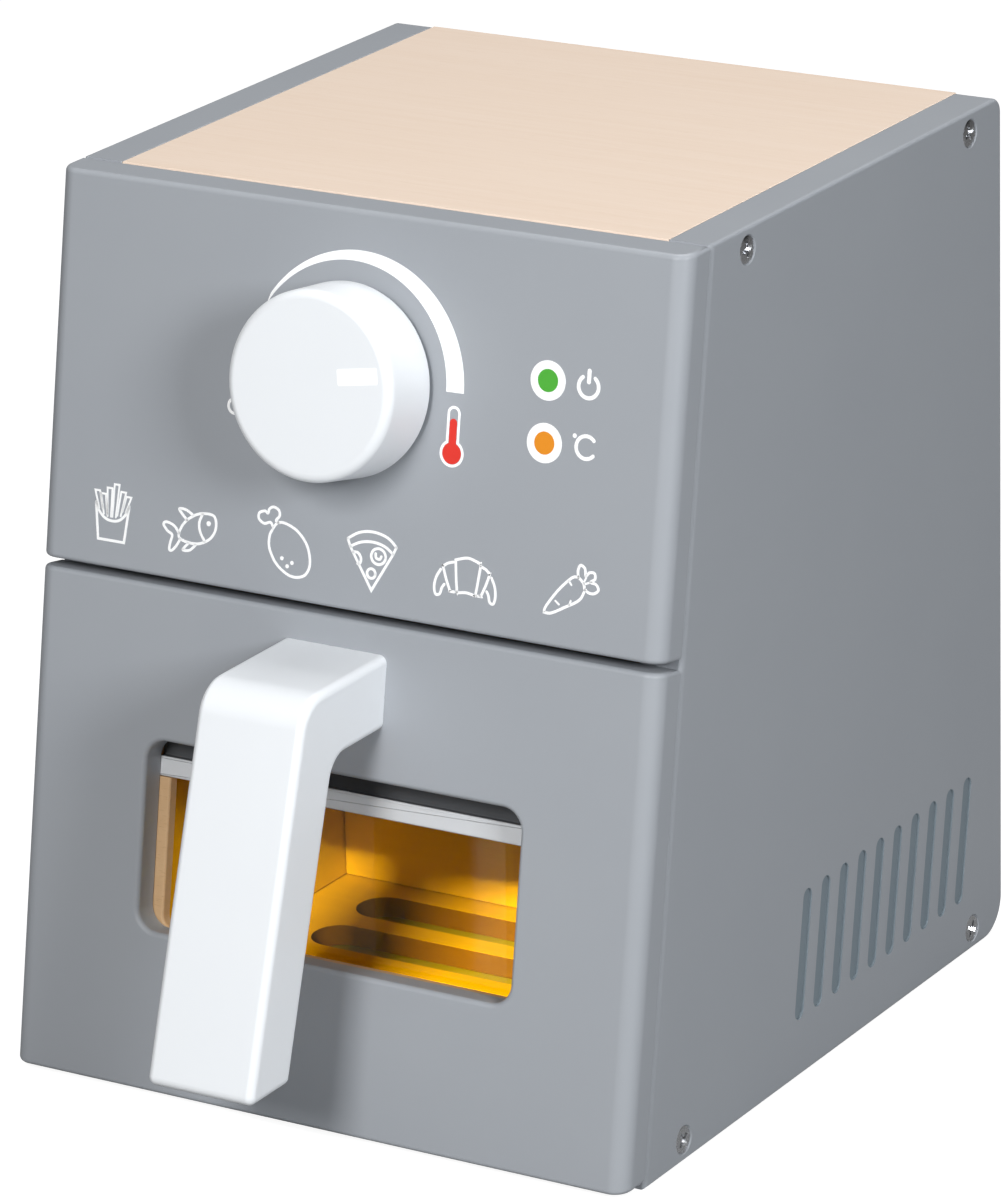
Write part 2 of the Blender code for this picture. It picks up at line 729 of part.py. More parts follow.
def make_upper_panel():
    """Make the fixed front panel, with the dial's bore and its dowel sockets."""
    bm = front_board(PANEL_FOOT, slant_level(CASE_HEIGHT))
    panel = piece("upper_panel", bm, grey_lacquer, front_frame)
    holes = bmesh.new()
    bore = rod_profile(AXLE_RADIUS + AXLE_PLAY, -OVERRUN, FRONT_THICK + OVERRUN)
    add_turned(holes, bore, 20, aim(dial_spot(), (0, 1, 0)))
    floor = FRONT_BACK - DOWEL_FRONT_DEPTH - FIT_GAP
    for _, _, x, height in panel_dowel_spots():
        hole = rod_profile(DOWEL_RADIUS + FIT_GAP, floor, FRONT_THICK + OVERRUN)
        add_turned(holes, hole, 14, aim((x, 0, height), (0, 1, 0)))
    cut(panel, "upper_panel_cutter", holes)


def make_front_dowels(kind, spots, parent):
    """Place the dowels that run from a front board into the boards behind it."""
    start = FRONT_BACK - DOWEL_FRONT_DEPTH
    for _, label, x, height in spots:
        place(f"{kind}_{label}", dowel_mesh, parent, aim((x, start, height), (0, 1, 0)))


def make_dial():
    """Make the turning dial: knob, axle, collar and screw, and the felt washer under it."""
    reach = DIAL_REACH
    rim = DIAL_RIM_RADIUS
    top_radius = DIAL_RADIUS - DIAL_TAPER
    profile = [(0, reach)]
    for across, up in reversed(arc((top_radius - rim, reach - rim), rim, 0, TURN / 4, 4)):
        profile.append((across, up))
    profile += [
        (DIAL_RADIUS, DIAL_LIFT + DIAL_BACK_EASE),
        (DIAL_RADIUS - DIAL_BACK_EASE, DIAL_LIFT),
        (AXLE_RADIUS + FIT_GAP, DIAL_LIFT),
        (AXLE_RADIUS + FIT_GAP, DIAL_LIFT + AXLE_SOCKET_DEPTH),
        (0, DIAL_LIFT + AXLE_SOCKET_DEPTH),
    ]
    piece("dial_knob", turned(profile, 40), white_lacquer, dial_frame, round_angle=SMOOTH_ANGLE)

    collar_top = -FRONT_THICK - COLLAR_PLAY
    collar_low = collar_top - COLLAR_THICK
    head = DIAL_LIFT + AXLE_SOCKET_DEPTH - FIT_GAP
    pilot = DIAL_SCREW_SHANK_RADIUS + FIT_GAP
    axle = [
        (0, head),
        (AXLE_RADIUS, head),
        (AXLE_RADIUS, collar_low),
        (pilot, collar_low),
        (pilot, collar_low + DIAL_SCREW_LENGTH + FIT_GAP),
        (0, collar_low + DIAL_SCREW_LENGTH + FIT_GAP),
    ]
    piece("dial_axle", turned(axle, 20), beech, dial_frame, round_angle=SMOOTH_ANGLE)

    bore = AXLE_RADIUS + FIT_GAP
    ring = [
        (bore, collar_low),
        (COLLAR_RADIUS - COLLAR_EASE, collar_low),
        (COLLAR_RADIUS, collar_low + COLLAR_EASE),
        (COLLAR_RADIUS, collar_top),
        (bore, collar_top),
    ]
    collar = turned(ring, 24, closed=True)
    piece("dial_collar", collar, beech, dial_frame, round_angle=SMOOTH_ANGLE)

    screw = pan_head(DIAL_SCREW_LENGTH, DIAL_SCREW_SHANK_RADIUS, DIAL_SCREW_HEAD_RADIUS,
                     DIAL_SCREW_HEAD_HEIGHT)
    turn = Matrix.Translation((0, 0, collar_low - FIT_GAP)) @ Matrix.Rotation(TURN / 2, 4, "X")
    piece("dial_screw", turned(screw, 16), zinc_steel, dial_frame, turn, SMOOTH_ANGLE)

    spot = AXLE_RADIUS + AXLE_PLAY
    felt_ring = [
        (spot, FIT_GAP),
        (WASHER_RADIUS, FIT_GAP),
        (WASHER_RADIUS, DIAL_LIFT - FIT_GAP),
        (spot, DIAL_LIFT - FIT_GAP),
    ]
    washer = turned(felt_ring, 24, closed=True)
    seat = Matrix.Translation(dial_spot()) @ Matrix.Rotation(TURN / 4, 4, "X")
    piece("dial_washer", washer, felt, front_frame, seat, SMOOTH_ANGLE)


def make_drawer_front():
    """Make the drawer's front with its window, the frame's rebate and every bore."""
    bm = front_board(slant_level(DRAWER_LIFT), DRAWER_FRONT_HEIGHT)
    front = piece("drawer_front", bm, grey_lacquer, drawer_front_frame)
    half = WINDOW_HALF
    bm = prism(rounded_rectangle(-half, half, WINDOW_LOW, WINDOW_HIGH, WINDOW_RADIUS, 5),
               -OVERRUN, FRONT_THICK + OVERRUN, along_y)
    cut(front, "window_cutter", bm)
    lap = FRAME_LAP + FIT_GAP
    bm = prism(rounded_rectangle(-half - lap, half + lap, WINDOW_LOW - lap, WINDOW_HIGH + lap,
                                 WINDOW_RADIUS, 5),
               WINDOW_FRONT_WALL, FRONT_THICK + OVERRUN, along_y)
    cut(front, "rebate_cutter", bm)

    holes = bmesh.new()
    floor = FRONT_BACK - DOWEL_FRONT_DEPTH - FIT_GAP
    for _, _, x, height in front_dowel_spots():
        hole = rod_profile(DOWEL_RADIUS + FIT_GAP, floor, FRONT_THICK + OVERRUN)
        add_turned(holes, hole, 14, aim((x, 0, height), (0, 1, 0)))
    pilot_floor = FRONT_BACK + PANE_THICK - PANE_SCREW_LENGTH
    for _, x, height in pane_screw_spots():
        hole = rod_profile(PANE_SCREW_SHANK_RADIUS + FIT_GAP, pilot_floor, FRONT_THICK + OVERRUN)
        add_turned(holes, hole, 10, aim((x, 0, height), (0, 1, 0)))
    for _, x in handle_screw_spots():
        spot = (x, 0, HANDLE_SCREW_HEIGHT)
        hole = rod_profile(HANDLE_SCREW_SHANK_RADIUS + FIT_GAP, -OVERRUN, FRONT_THICK + OVERRUN)
        add_turned(holes, hole, 12, aim(spot, (0, 1, 0)))
    cut(front, "drawer_front_hole_cutter", holes)


def frame_opening():
    """Left, right, low and high of the wooden frame's own opening."""
    half = WINDOW_HALF - FRAME_LIP_SIDE
    return -half, half, WINDOW_LOW + FRAME_LIP_FOOT, WINDOW_HIGH + FRAME_LIP_FOOT


def make_window():
    """Make the window's wooden frame, the pale rail in its head, the pane and its screws."""
    left, right, low, high = frame_opening()
    half = WINDOW_HALF + FRAME_LAP
    front = WINDOW_FRONT_WALL + FIT_GAP
    back = FRONT_THICK
    bm = prism(rounded_rectangle(-half, half, WINDOW_LOW - FRAME_LAP, WINDOW_HIGH + FRAME_LAP,
                                 WINDOW_RADIUS - FIT_GAP, 5),
               front, back, along_y)
    frame = piece("window_frame", bm, beech, drawer_front_frame)
    bm = prism(rounded_rectangle(left, right, low, high, WINDOW_RADIUS - FRAME_LIP_SIDE, 5),
               front - OVERRUN, back + OVERRUN, along_y)
    cut(frame, "window_frame_cutter", bm)

    gap = FIT_GAP
    corner = WINDOW_RADIUS - FRAME_LIP_SIDE - gap
    top = high - gap
    outline = [(left + gap, WINDOW_HIGH - RAIL_DROP), (right - gap, WINDOW_HIGH - RAIL_DROP)]
    outline += arc((right - gap - corner, top - corner), corner, 0, TURN / 4, 4)
    outline += arc((left + gap + corner, top - corner), corner, TURN / 4, TURN / 2, 4)
    rail = prism(outline, front, back, along_y)
    piece("window_rail", rail, pale_lacquer, drawer_front_frame)

    outline = rounded_rectangle(-PANE_HALF, PANE_HALF, WINDOW_LOW - PANE_END_LAP, PANE_HEAD,
                                PANE_CORNER_RADIUS, 3)
    bm = prism(outline, FRONT_BACK, FRONT_BACK + PANE_THICK, along_y)
    pane = piece("window_pane", bm, amber, drawer_front_frame)
    holes = bmesh.new()
    seat = FRONT_BACK + PANE_THICK + FIT_GAP
    screw = pan_head(PANE_SCREW_LENGTH - FIT_GAP, PANE_SCREW_SHANK_RADIUS, PANE_SCREW_HEAD_RADIUS,
                     PANE_SCREW_HEAD_HEIGHT)
    mesh = finished_mesh("pane_screw", turned(screw, 12), zinc_steel, SMOOTH_ANGLE)
    for label, x, height in pane_screw_spots():
        hole = rod_profile(PANE_SCREW_SHANK_RADIUS + FIT_GAP, FRONT_BACK - OVERRUN, seat + OVERRUN)
        add_turned(holes, hole, 10, aim((x, 0, height), (0, 1, 0)))
        spot = aim((x, seat, height), (0, 1, 0))
        place(f"pane_screw_{label}", mesh, drawer_front_frame, spot)
    cut(pane, "window_pane_cutter", holes)


def box_outline(low, high):
    """Outline in Y and Z of the drawer box between two levels."""
    return slanted_outline(low, high, DRAWER_REAR)


def floor_screw_spots():
    """Side, name, X and Y of the screws that come up through the floor into the sides."""
    return [
        (side, f"{word}_{end}", side * BOX_WALL_X, share * DRAWER_REAR)
        for side, word in SIDES
        for end, share in zip(("front", "rear"), FLOOR_SCREW_SHARES)
    ]


def make_drawer_box():
    """Make the drawer's sides, back and slotted floor, with their dowels and screws."""
    down = (0, 0, -1)
    inward = DOWEL_LENGTH * BACK_DOWEL_INWARD_SHARE
    for side, word in SIDES:
        name = f"drawer_side_{word}"
        x0, x1 = sorted((side * BOX_INNER, side * BOX_HALF))
        board = piece(name, prism(box_outline(BOX_LOW, BOX_TOP), x0, x1, along_x), plywood,
                      drawer_frame)
        holes = bmesh.new()
        depth = DOWEL_LENGTH - inward + FIT_GAP
        for which, _, y, z in back_dowel_spots():
            if which == side:
                ends = rod_profile(DOWEL_RADIUS + FIT_GAP, -OVERRUN, depth)
                add_turned(holes, ends, 12, aim((side * BOX_INNER, y, z), (side, 0, 0)))
        for which, _, x, y in floor_screw_spots():
            if which == side:
                hole = rod_profile(SCREW_SHANK_RADIUS + FIT_GAP, -FLOOR_SCREW_LENGTH - FIT_GAP,
                                   OVERRUN - FLOOR_THICK)
                add_turned(holes, hole, 12, aim((x, y, FLOOR_LOW + SCREW_SINK), down))
        cut(board, name + "_cutter", holes)
        holes = bmesh.new()
        depth = FRONT_BACK - DOWEL_FRONT_DEPTH + DOWEL_LENGTH + FIT_GAP
        for which, _, x, height in front_dowel_spots():
            if which == side:
                hole = rod_profile(DOWEL_RADIUS + FIT_GAP, FRONT_BACK - OVERRUN, depth)
                add_turned(holes, hole, 14, aim((x, 0, height), (0, 1, 0)))
        cut(board, name + "_dowel_cutter", holes, drawer_front_frame)

    half = BOX_INNER - FIT_GAP
    bm = bmesh.new()
    box(bm, -half, half, BOX_BACK_FACE, DRAWER_REAR, BOX_LOW, BOX_TOP)
    back = piece("drawer_back", bm, plywood, drawer_frame)
    holes = bmesh.new()
    for side, label, y, z in back_dowel_spots():
        hole = rod_profile(DOWEL_RADIUS + FIT_GAP, -inward - FIT_GAP, OVERRUN)
        add_turned(holes, hole, 12, aim((side * BOX_INNER, y, z), (side, 0, 0)))
        start = aim((side * (BOX_INNER - inward), y, z), (side, 0, 0))
        place(f"back_dowel_{label}", dowel_mesh, drawer_frame, start)
    cut(back, "drawer_back_cutter", holes)

    bm = prism(box_outline(FLOOR_LOW, FLOOR_TOP), -BOX_HALF, BOX_HALF, along_x)
    floor = piece("drawer_floor", bm, plywood, drawer_frame)
    slots = bmesh.new()
    length = 2 * (BOX_INNER - SLOT_END_MARGIN)
    for i in range(SLOT_COUNT):
        y = BOX_BACK_FACE - SLOT_BAR - SLOT_WIDTH / 2 - i * (SLOT_WIDTH + SLOT_BAR)
        outline = capsule((0, y), length, SLOT_WIDTH, TURN / 4, 6)
        add_prism(slots, outline, FLOOR_LOW - OVERRUN, FLOOR_TOP + OVERRUN, along_z)
    cut(floor, "floor_slot_cutter", slots)
    holes = bmesh.new()
    mesh = countersunk_mesh("floor_screw", FLOOR_SCREW_LENGTH)
    for _, label, x, y in floor_screw_spots():
        spot = aim((x, y, FLOOR_LOW + SCREW_SINK), down)
        add_turned(holes, countersunk_hole(FLOOR_SCREW_LENGTH), 16, spot)
        place(f"floor_screw_{label}", mesh, drawer_frame, spot)
    cut(floor, "floor_hole_cutter", holes)


def handle_screw_spots():
    """Name and X of the two screws that hold the handle."""
    return [(word, HANDLE_X + side * HANDLE_SCREW_SPREAD) for side, word in SIDES]


def make_handle():
    """Place the bent handle and the two screws that hold it from inside."""
    handle = piece("handle", handle_bm, white_lacquer, drawer_frame, round_angle=SMOOTH_ANGLE)
    holes = bmesh.new()
    screw = pan_head(HANDLE_SCREW_LENGTH, HANDLE_SCREW_SHANK_RADIUS, HANDLE_SCREW_HEAD_RADIUS,
                     HANDLE_SCREW_HEAD_HEIGHT)
    mesh = finished_mesh("handle_screw", turned(screw, 14), zinc_steel, SMOOTH_ANGLE)
    for word, x in handle_screw_spots():
        spot = aim((x, FRONT_BACK, HANDLE_SCREW_HEIGHT), (0, 1, 0))
        hole = rod_profile(HANDLE_SCREW_SHANK_RADIUS + FIT_GAP, -HANDLE_SCREW_LENGTH - FIT_GAP,
                           -FRONT_THICK)
        add_turned(holes, hole, 12, spot)
        place(f"handle_screw_{word}", mesh, drawer_front_frame, spot)
    cut(handle, "handle_hole_cutter", holes, drawer_front_frame)


make_side_board("side_board_left", -1)
make_side_board("side_board_right", 1)
make_casing_screws()
make_level_boards()
make_captive_boards()
make_drawer_guides()
make_upper_panel()
dowel_mesh = finished_mesh("dowel", turned(rod_profile(DOWEL_RADIUS, 0, DOWEL_LENGTH), 12), beech)
make_front_dowels("panel_dowel", panel_dowel_spots(), front_frame)
make_front_dowels("front_dowel", front_dowel_spots(), drawer_front_frame)
make_dial()
make_drawer_front()
make_window()
make_drawer_box()
make_handle()
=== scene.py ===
# %% [markdown]
# # A wooden toy air fryer
# The toy is a box of lacquered boards with a slanted front. Its lower half is a drawer that really slides,
# and its dial really turns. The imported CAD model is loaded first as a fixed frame. Each cell below then
# dresses one part of it with the shape and the finish of the real thing.

# %% Load the frame
import math
import bmesh
import bpy
from mathutils import Matrix, Vector


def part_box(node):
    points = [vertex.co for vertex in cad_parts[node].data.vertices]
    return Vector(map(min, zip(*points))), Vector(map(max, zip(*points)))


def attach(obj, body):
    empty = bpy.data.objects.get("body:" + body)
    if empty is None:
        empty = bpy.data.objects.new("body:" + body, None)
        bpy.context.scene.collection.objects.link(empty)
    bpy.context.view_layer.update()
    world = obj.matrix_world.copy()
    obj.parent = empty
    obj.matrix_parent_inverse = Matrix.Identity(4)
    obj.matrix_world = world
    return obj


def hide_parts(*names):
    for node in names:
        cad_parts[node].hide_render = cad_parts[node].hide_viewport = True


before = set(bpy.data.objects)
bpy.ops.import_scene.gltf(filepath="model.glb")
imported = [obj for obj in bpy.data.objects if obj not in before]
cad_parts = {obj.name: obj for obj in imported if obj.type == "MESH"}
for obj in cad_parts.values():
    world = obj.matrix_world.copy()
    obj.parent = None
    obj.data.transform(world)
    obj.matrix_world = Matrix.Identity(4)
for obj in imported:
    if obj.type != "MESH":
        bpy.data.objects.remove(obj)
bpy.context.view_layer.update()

# %% [markdown]
# ## Measures
# The toy's sizes are in millimetres, as a maker would write them on a drawing, and are turned to metres
# when a mesh is made. The front leans back by ten degrees, so it gets a frame of its own: x runs across, y
# into the board, and z up the slope. The dial's frame has its z axis along the axle.

# %% Measures and frames
MM = 0.001
TURN = 2 * math.pi
LEAN = math.radians(10)
CASE_DEPTH = 183.5
CASE_HEIGHT = 220.0
HALF_WIDTH = 86.75
SIDE_THICK = 11.2
FRONT_THICK = 10.0
FRONT_BACK = 10.3
DIAL_X, DIAL_V = -1.5, 183.465


def at(x, y, z):
    """Gives the matrix of a move in millimetres."""
    return Matrix.Translation(Vector((x, y, z)) * MM)


case_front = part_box("side_board_left")[1].y / MM - CASE_DEPTH
CASE = at(0, case_front, 0)
FRONT = CASE @ at(0, -FRONT_BACK / math.cos(LEAN), 0) @ Matrix.Rotation(-LEAN, 4, "X")
DIAL = FRONT @ at(DIAL_X, 0, DIAL_V) @ Matrix.Rotation(TURN / 4, 4, "X")
print("the case starts at y =", round(case_front, 3), "mm; its front foot is at", FRONT.translation)

# %% [markdown]
# ## Camera
# The photograph was taken from the front right, a little above the toy, with a long lens from about a metre
# and a half. A long lens keeps the upright edges nearly parallel. The camera looks at a point near the
# middle of the case. Its angles and its place were found by laying the case's straight edges over those of
# the photograph.

# %% Camera
AZIMUTH, ELEVATION, ROLL = (math.radians(a) for a in (31.65, 19.42, -1.58))
DISTANCE, FOCAL_LENGTH, SENSOR_HEIGHT = 1614.36, 198.1, 36
TARGET = Vector((3.67, case_front + 79.33, 108.30))
level = math.cos(ELEVATION)
look = Vector((-math.sin(AZIMUTH) * level, math.cos(AZIMUTH) * level, -math.sin(ELEVATION)))
lens = bpy.data.cameras.new("camera")
lens.sensor_fit, lens.sensor_height, lens.lens = "VERTICAL", SENSOR_HEIGHT, FOCAL_LENGTH
camera = bpy.data.objects.new("camera", lens)
bpy.context.scene.collection.objects.link(camera)
camera.rotation_mode = "QUATERNION"
camera.rotation_quaternion = look.to_track_quat("-Z", "Y") @ Matrix.Rotation(ROLL, 3, "Z").to_quaternion()
camera.location = (TARGET - look * DISTANCE) * MM
bpy.context.scene.camera = camera
print("camera at", camera.location)

# %% [markdown]
# ## Nodes and colours
# Paint is given as a hex code, and a shader wants linear light, so one function turns the first to
# the second. Another adds a node with its settings and its links, and every material below is made with it.
# No real surface is even, so three more functions let a pattern blend two colours, vary the roughness or
# raise the surface a little.

# %% Colours and nodes
def colour(code, alpha=1.0):
    """Turns an sRGB hex code into the linear colour that a shader takes."""
    parts = [int(code[i:i + 2], 16) / 255 for i in (1, 3, 5)]
    return (*(c / 12.92 if c <= 0.04045 else ((c + 0.055) / 1.055) ** 2.4 for c in parts), alpha)


def add(tree, kind, settings={}, links={}):
    """Adds a node, sets its sockets or its properties, and links outputs to its inputs."""
    made = tree.nodes.new("ShaderNode" + kind)
    for name, value in settings.items():
        if isinstance(name, int) or name in made.inputs:
            made.inputs[name].default_value = value
        else:
            setattr(made, name, value)
    for name, output in links.items():
        tree.links.new(output, made.inputs[name])
    return made


def new_material(name, settings):
    """Starts a material and gives back its node tree, its shader and its place in space, in metres."""
    material = bpy.data.materials.new(name)
    material.use_nodes = True
    tree = material.node_tree
    shader = tree.nodes["Principled BSDF"]
    for socket, value in settings.items():
        shader.inputs[socket].default_value = value
    return material, tree, shader, add(tree, "TexCoord").outputs["Object"]


def blend(tree, amount, first, second):
    """Mixes two colours, or two colour outputs, by an amount."""
    made = add(tree, "Mix", {"data_type": "RGBA"}, {0: amount})
    for socket, value in ((6, first), (7, second)):
        if isinstance(value, str):
            made.inputs[socket].default_value = colour(value)
        else:
            tree.links.new(value, made.inputs[socket])
    return made.outputs[2]


def vary_roughness(tree, shader, pattern, low, high):
    """Lets a pattern vary the roughness between two values."""
    gloss = add(tree, "MapRange", {"To Min": low, "To Max": high}, {"Value": pattern})
    tree.links.new(gloss.outputs["Result"], shader.inputs["Roughness"])


def emboss(tree, shader, pattern, strength, height):
    """Lets a pattern raise the surface by a height in millimetres."""
    bump = add(tree, "Bump", {"Strength": strength, "Distance": height * MM}, {"Height": pattern})
    tree.links.new(bump.outputs["Normal"], shader.inputs["Normal"])


print("a mid grey in linear light:", [round(c, 3) for c in colour("#9EA2A8")[:3]])

# %% [markdown]
# ## Lacquered boards
# The boards are sprayed with a satin lacquer, which fills the wood's pores. Light on it is broad and soft,
# and the spray leaves a very slight orange peel of about a millimetre and a half. Its roughness wanders a
# little too, so a highlight along an edge isn't perfectly even. The same function makes every lacquer on
# the toy.

# %% Sprayed satin lacquer
def satin_lacquer(name, main, thin, roughness):
    """Makes a sprayed satin lacquer: two close tones, a wandering roughness and orange peel."""
    material, tree, shader, place = new_material(name, {"IOR": 1.5, "Specular IOR Level": 0.4})
    cloud = add(tree, "TexNoise", {"Scale": 1 / (35 * MM), "Detail": 3.0}, {"Vector": place})
    tree.links.new(blend(tree, cloud.outputs["Fac"], main, thin), shader.inputs["Base Color"])
    vary_roughness(tree, shader, cloud.outputs["Fac"], roughness - 0.04, roughness + 0.04)
    peel = add(tree, "TexNoise", {"Scale": 1 / (1.5 * MM), "Detail": 1.0}, {"Vector": place})
    emboss(tree, shader, peel.outputs["Fac"], 0.25, 0.01)
    return material


grey_lacquer = satin_lacquer("grey_satin_lacquer", "#9DA1A7", "#A1A5AA", 0.42)
vent_lacquer = satin_lacquer("vent_grey_lacquer", "#7C8891", "#818C92", 0.55)
white_lacquer = satin_lacquer("white_satin_lacquer", "#E9ECEF", "#ECEFF2", 0.36)
pale_lacquer = satin_lacquer("pale_grey_satin_lacquer", "#CACCCF", "#CFD1D3", 0.45)
# Painted shade: a dark grey for the rail's set-back head, which stands for a deep shadow line.
painted_shade_lacquer = satin_lacquer("painted_shade_grey_lacquer", "#4E5053", "#545659", 0.6)
lacquers = (grey_lacquer, vent_lacquer, white_lacquer, pale_lacquer, painted_shade_lacquer)
print("lacquers:", [made.name for made in lacquers])

# %% [markdown]
# ## Wood
# Three woods are left clear. The top is a pale maple veneer whose grain runs from side to side. The drawer
# box and the shelf are birch plywood, which shows its layers along every edge. The window's frame, the
# guides and the dowels are beech, with short dark flecks. The walls of the drawer's slots get a dark brown of
# their own, which is painted shade that darkens them where shade falls. Wood grain is noise that is
# stretched along the board, so one function makes the stretched noise and each wood mixes its own tones
# with it.

# %% Grain
def grain(tree, place, along, across, axis):
    """Adds noise drawn out along one axis. along and across are the length and width of a streak."""
    size = [1 / (across * MM)] * 3
    size["XYZ".index(axis)] = 1 / (along * MM)
    stretch = add(tree, "Mapping", {"Scale": size}, {"Vector": place})
    return add(tree, "TexNoise", {"Scale": 1.0, "Detail": 4.0, "Roughness": 0.55},
               {"Vector": stretch.outputs["Vector"]}).outputs["Fac"]


def clear_wood(name, pale, dark, fleck, axis, streak, fleck_size, fleck_amount, roughness):
    """Makes a clear varnished wood with streaks and short flecks along one axis."""
    material, tree, shader, place = new_material(name, {"Roughness": roughness, "IOR": 1.45,
                                                        "Specular IOR Level": 0.35})
    tone = blend(tree, grain(tree, place, *streak, axis), pale, dark)
    short = grain(tree, place, *fleck_size, axis)
    cut = add(tree, "MapRange", {"From Min": 0.60, "From Max": 0.72, "To Max": fleck_amount},
              {"Value": short})
    tree.links.new(blend(tree, cut.outputs["Result"], tone, fleck), shader.inputs["Base Color"])
    emboss(tree, shader, short, 0.2, 0.02)
    return material


veneer = clear_wood("maple_veneer_clear", "#EDDBCB", "#E6D0BC", "#D9BFA6", "X",
                    streak=(90, 2.2), fleck_size=(7, 0.35), fleck_amount=0.35, roughness=0.5)
beech = clear_wood("beech_clear", "#D2B088", "#C39E74", "#9C7650", "X",
                   streak=(60, 2.5), fleck_size=(3.5, 0.3), fleck_amount=0.6, roughness=0.5)
# Painted shade: a dark brown for the walls of the drawer's slots, where shade falls.
painted_shade_slot_wall = clear_wood("birch_slot_wall_painted_shade", "#80603E", "#6E5032", "#4C3620", "X",
                        streak=(20, 1.4), fleck_size=(3, 0.4), fleck_amount=0.5, roughness=0.7)
print("woods:", veneer.name, beech.name, painted_shade_slot_wall.name)

# %% Plywood
LAYER = 1.35


def birch_plywood(name, layer_axis, grain_axis):
    """Makes birch plywood: pale faces, and darker layers wherever an edge cuts through them."""
    material, tree, shader, place = new_material(name, {"Roughness": 0.55, "IOR": 1.45,
                                                        "Specular IOR Level": 0.35})
    face = blend(tree, grain(tree, place, 70, 2.0, grain_axis), "#DFC7A0", "#D3B88C")
    depth = add(tree, "SeparateXYZ", {}, {0: place}).outputs[layer_axis]
    count = add(tree, "Math", {"operation": "MULTIPLY", 1: 1 / (2 * LAYER * MM)}, {0: depth})
    saw = add(tree, "Math", {"operation": "PINGPONG", 1: 0.5}, {0: count.outputs[0]})
    band = add(tree, "MapRange", {"From Min": 0.20, "From Max": 0.30}, {"Value": saw.outputs[0]})
    layers = blend(tree, band.outputs["Result"], "#DCC299", "#B08A5C")
    normal = add(tree, "SeparateXYZ", {}, {0: add(tree, "TexCoord").outputs["Normal"]}).outputs[layer_axis]
    flat = add(tree, "Math", {"operation": "ABSOLUTE"}, {0: normal})
    tree.links.new(blend(tree, flat.outputs[0], layers, face), shader.inputs["Base Color"])
    emboss(tree, shader, grain(tree, place, 8, 0.4, grain_axis), 0.2, 0.02)
    return material


plywood_level = birch_plywood("birch_plywood_level", "Z", "X")
plywood_side = birch_plywood("birch_plywood_side", "X", "Y")
plywood_back = birch_plywood("birch_plywood_back", "Y", "X")
print("plywood with layers of", LAYER, "mm")

# %% [markdown]
# ## Amber window, zinc and felt
# The pane is tinted acrylic, cast and polished, so it is smooth and its colour comes from what it lets
# through. Light from the lamps has to reach the drawer behind it, and a shader of solid glass would stop
# that. So for a shadow ray, and for light that one board throws on another, the pane is a plain amber
# filter. The screws are zinc plated steel, which is a metal with a faintly cloudy gloss. The washer under
# the dial is felt, which is rough and has a soft sheen.

# %% Amber, zinc and felt
def cast_acrylic(name, tint, filter_tint):
    """Makes polished tinted acrylic that lamps can shine through."""
    material, tree, shader, place = new_material(name, {"Base Color": colour(tint), "IOR": 1.49,
                                                        "Transmission Weight": 1.0})
    wipe = add(tree, "TexNoise", {"Scale": 1 / (12 * MM)}, {"Vector": place})
    vary_roughness(tree, shader, wipe.outputs["Fac"], 0.0, 0.03)
    through = add(tree, "BsdfTransparent", {"Color": colour(filter_tint)})
    path = add(tree, "LightPath")
    light = add(tree, "Math", {"operation": "MAXIMUM"},
                {0: path.outputs["Is Shadow Ray"], 1: path.outputs["Is Diffuse Ray"]})
    both = add(tree, "MixShader", {}, {0: light.outputs[0], 1: shader.outputs[0], 2: through.outputs[0]})
    tree.links.new(both.outputs[0], tree.nodes["Material Output"].inputs["Surface"])
    return material


def plated_steel(name):
    """Makes bright zinc plating with a slightly uneven gloss."""
    material, tree, shader, place = new_material(name, {"Base Color": colour("#D6D7D9"), "Metallic": 1.0})
    cloud = add(tree, "TexNoise", {"Scale": 1 / (0.8 * MM), "Detail": 3.0}, {"Vector": place})
    vary_roughness(tree, shader, cloud.outputs["Fac"], 0.18, 0.34)
    return material


def pressed_felt(name):
    """Makes grey felt: rough, with a fuzzy sheen and fibres of about half a millimetre."""
    material, tree, shader, place = new_material(name, {"Roughness": 0.95, "Sheen Weight": 0.3})
    fibre = add(tree, "TexNoise", {"Scale": 1 / (0.5 * MM), "Detail": 6.0}, {"Vector": place})
    tree.links.new(blend(tree, fibre.outputs["Fac"], "#54565A", "#75777B"), shader.inputs["Base Color"])
    emboss(tree, shader, fibre.outputs["Fac"], 0.6, 0.1)
    return material


amber_acrylic = cast_acrylic("amber_cast_acrylic", "#FFE414", "#FFF26E")
zinc_steel = plated_steel("zinc_plated_steel")
grey_felt = pressed_felt("grey_pressed_felt")
print("pane, screws and washer:", amber_acrylic.name, zinc_steel.name, grey_felt.name)

# %% [markdown]
# ## Printing inks
# The signs are screen printed. The ink lies a few hundredths of a millimetre thick on the lacquer and is a
# little matter than it. A fine speckle stands for the mesh of the screen.

# %% Printing inks
def screen_ink(name, main, thin):
    """Makes an opaque printing ink with a fine speckle."""
    material, tree, shader, place = new_material(name, {"IOR": 1.5, "Specular IOR Level": 0.3})
    speck = add(tree, "TexNoise", {"Scale": 1 / (0.4 * MM)}, {"Vector": place})
    tree.links.new(blend(tree, speck.outputs["Fac"], main, thin), shader.inputs["Base Color"])
    vary_roughness(tree, shader, speck.outputs["Fac"], 0.45, 0.60)
    return material


white_ink = screen_ink("white_screen_ink", "#FFFFFF", "#FCFDFD")
green_ink = screen_ink("green_screen_ink", "#4CAA36", "#50AC3C")
orange_ink = screen_ink("orange_screen_ink", "#E48C1C", "#E49024")
red_ink = screen_ink("red_screen_ink", "#DC3226", "#DA382E")
print("inks:", white_ink.name, green_ink.name, orange_ink.name, red_ink.name)

# %% [markdown]
# ## From outlines to boards
# A board is an outline that is pushed through its thickness, and its edges are eased by sanding. So a board
# is built as a stack of rings: each ring is the outline, moved in a little near the ends along a quarter
# circle. The same idea makes the cutter for a window or a slot, with the ring moved outward at its mouth,
# which rounds the edge that it leaves.

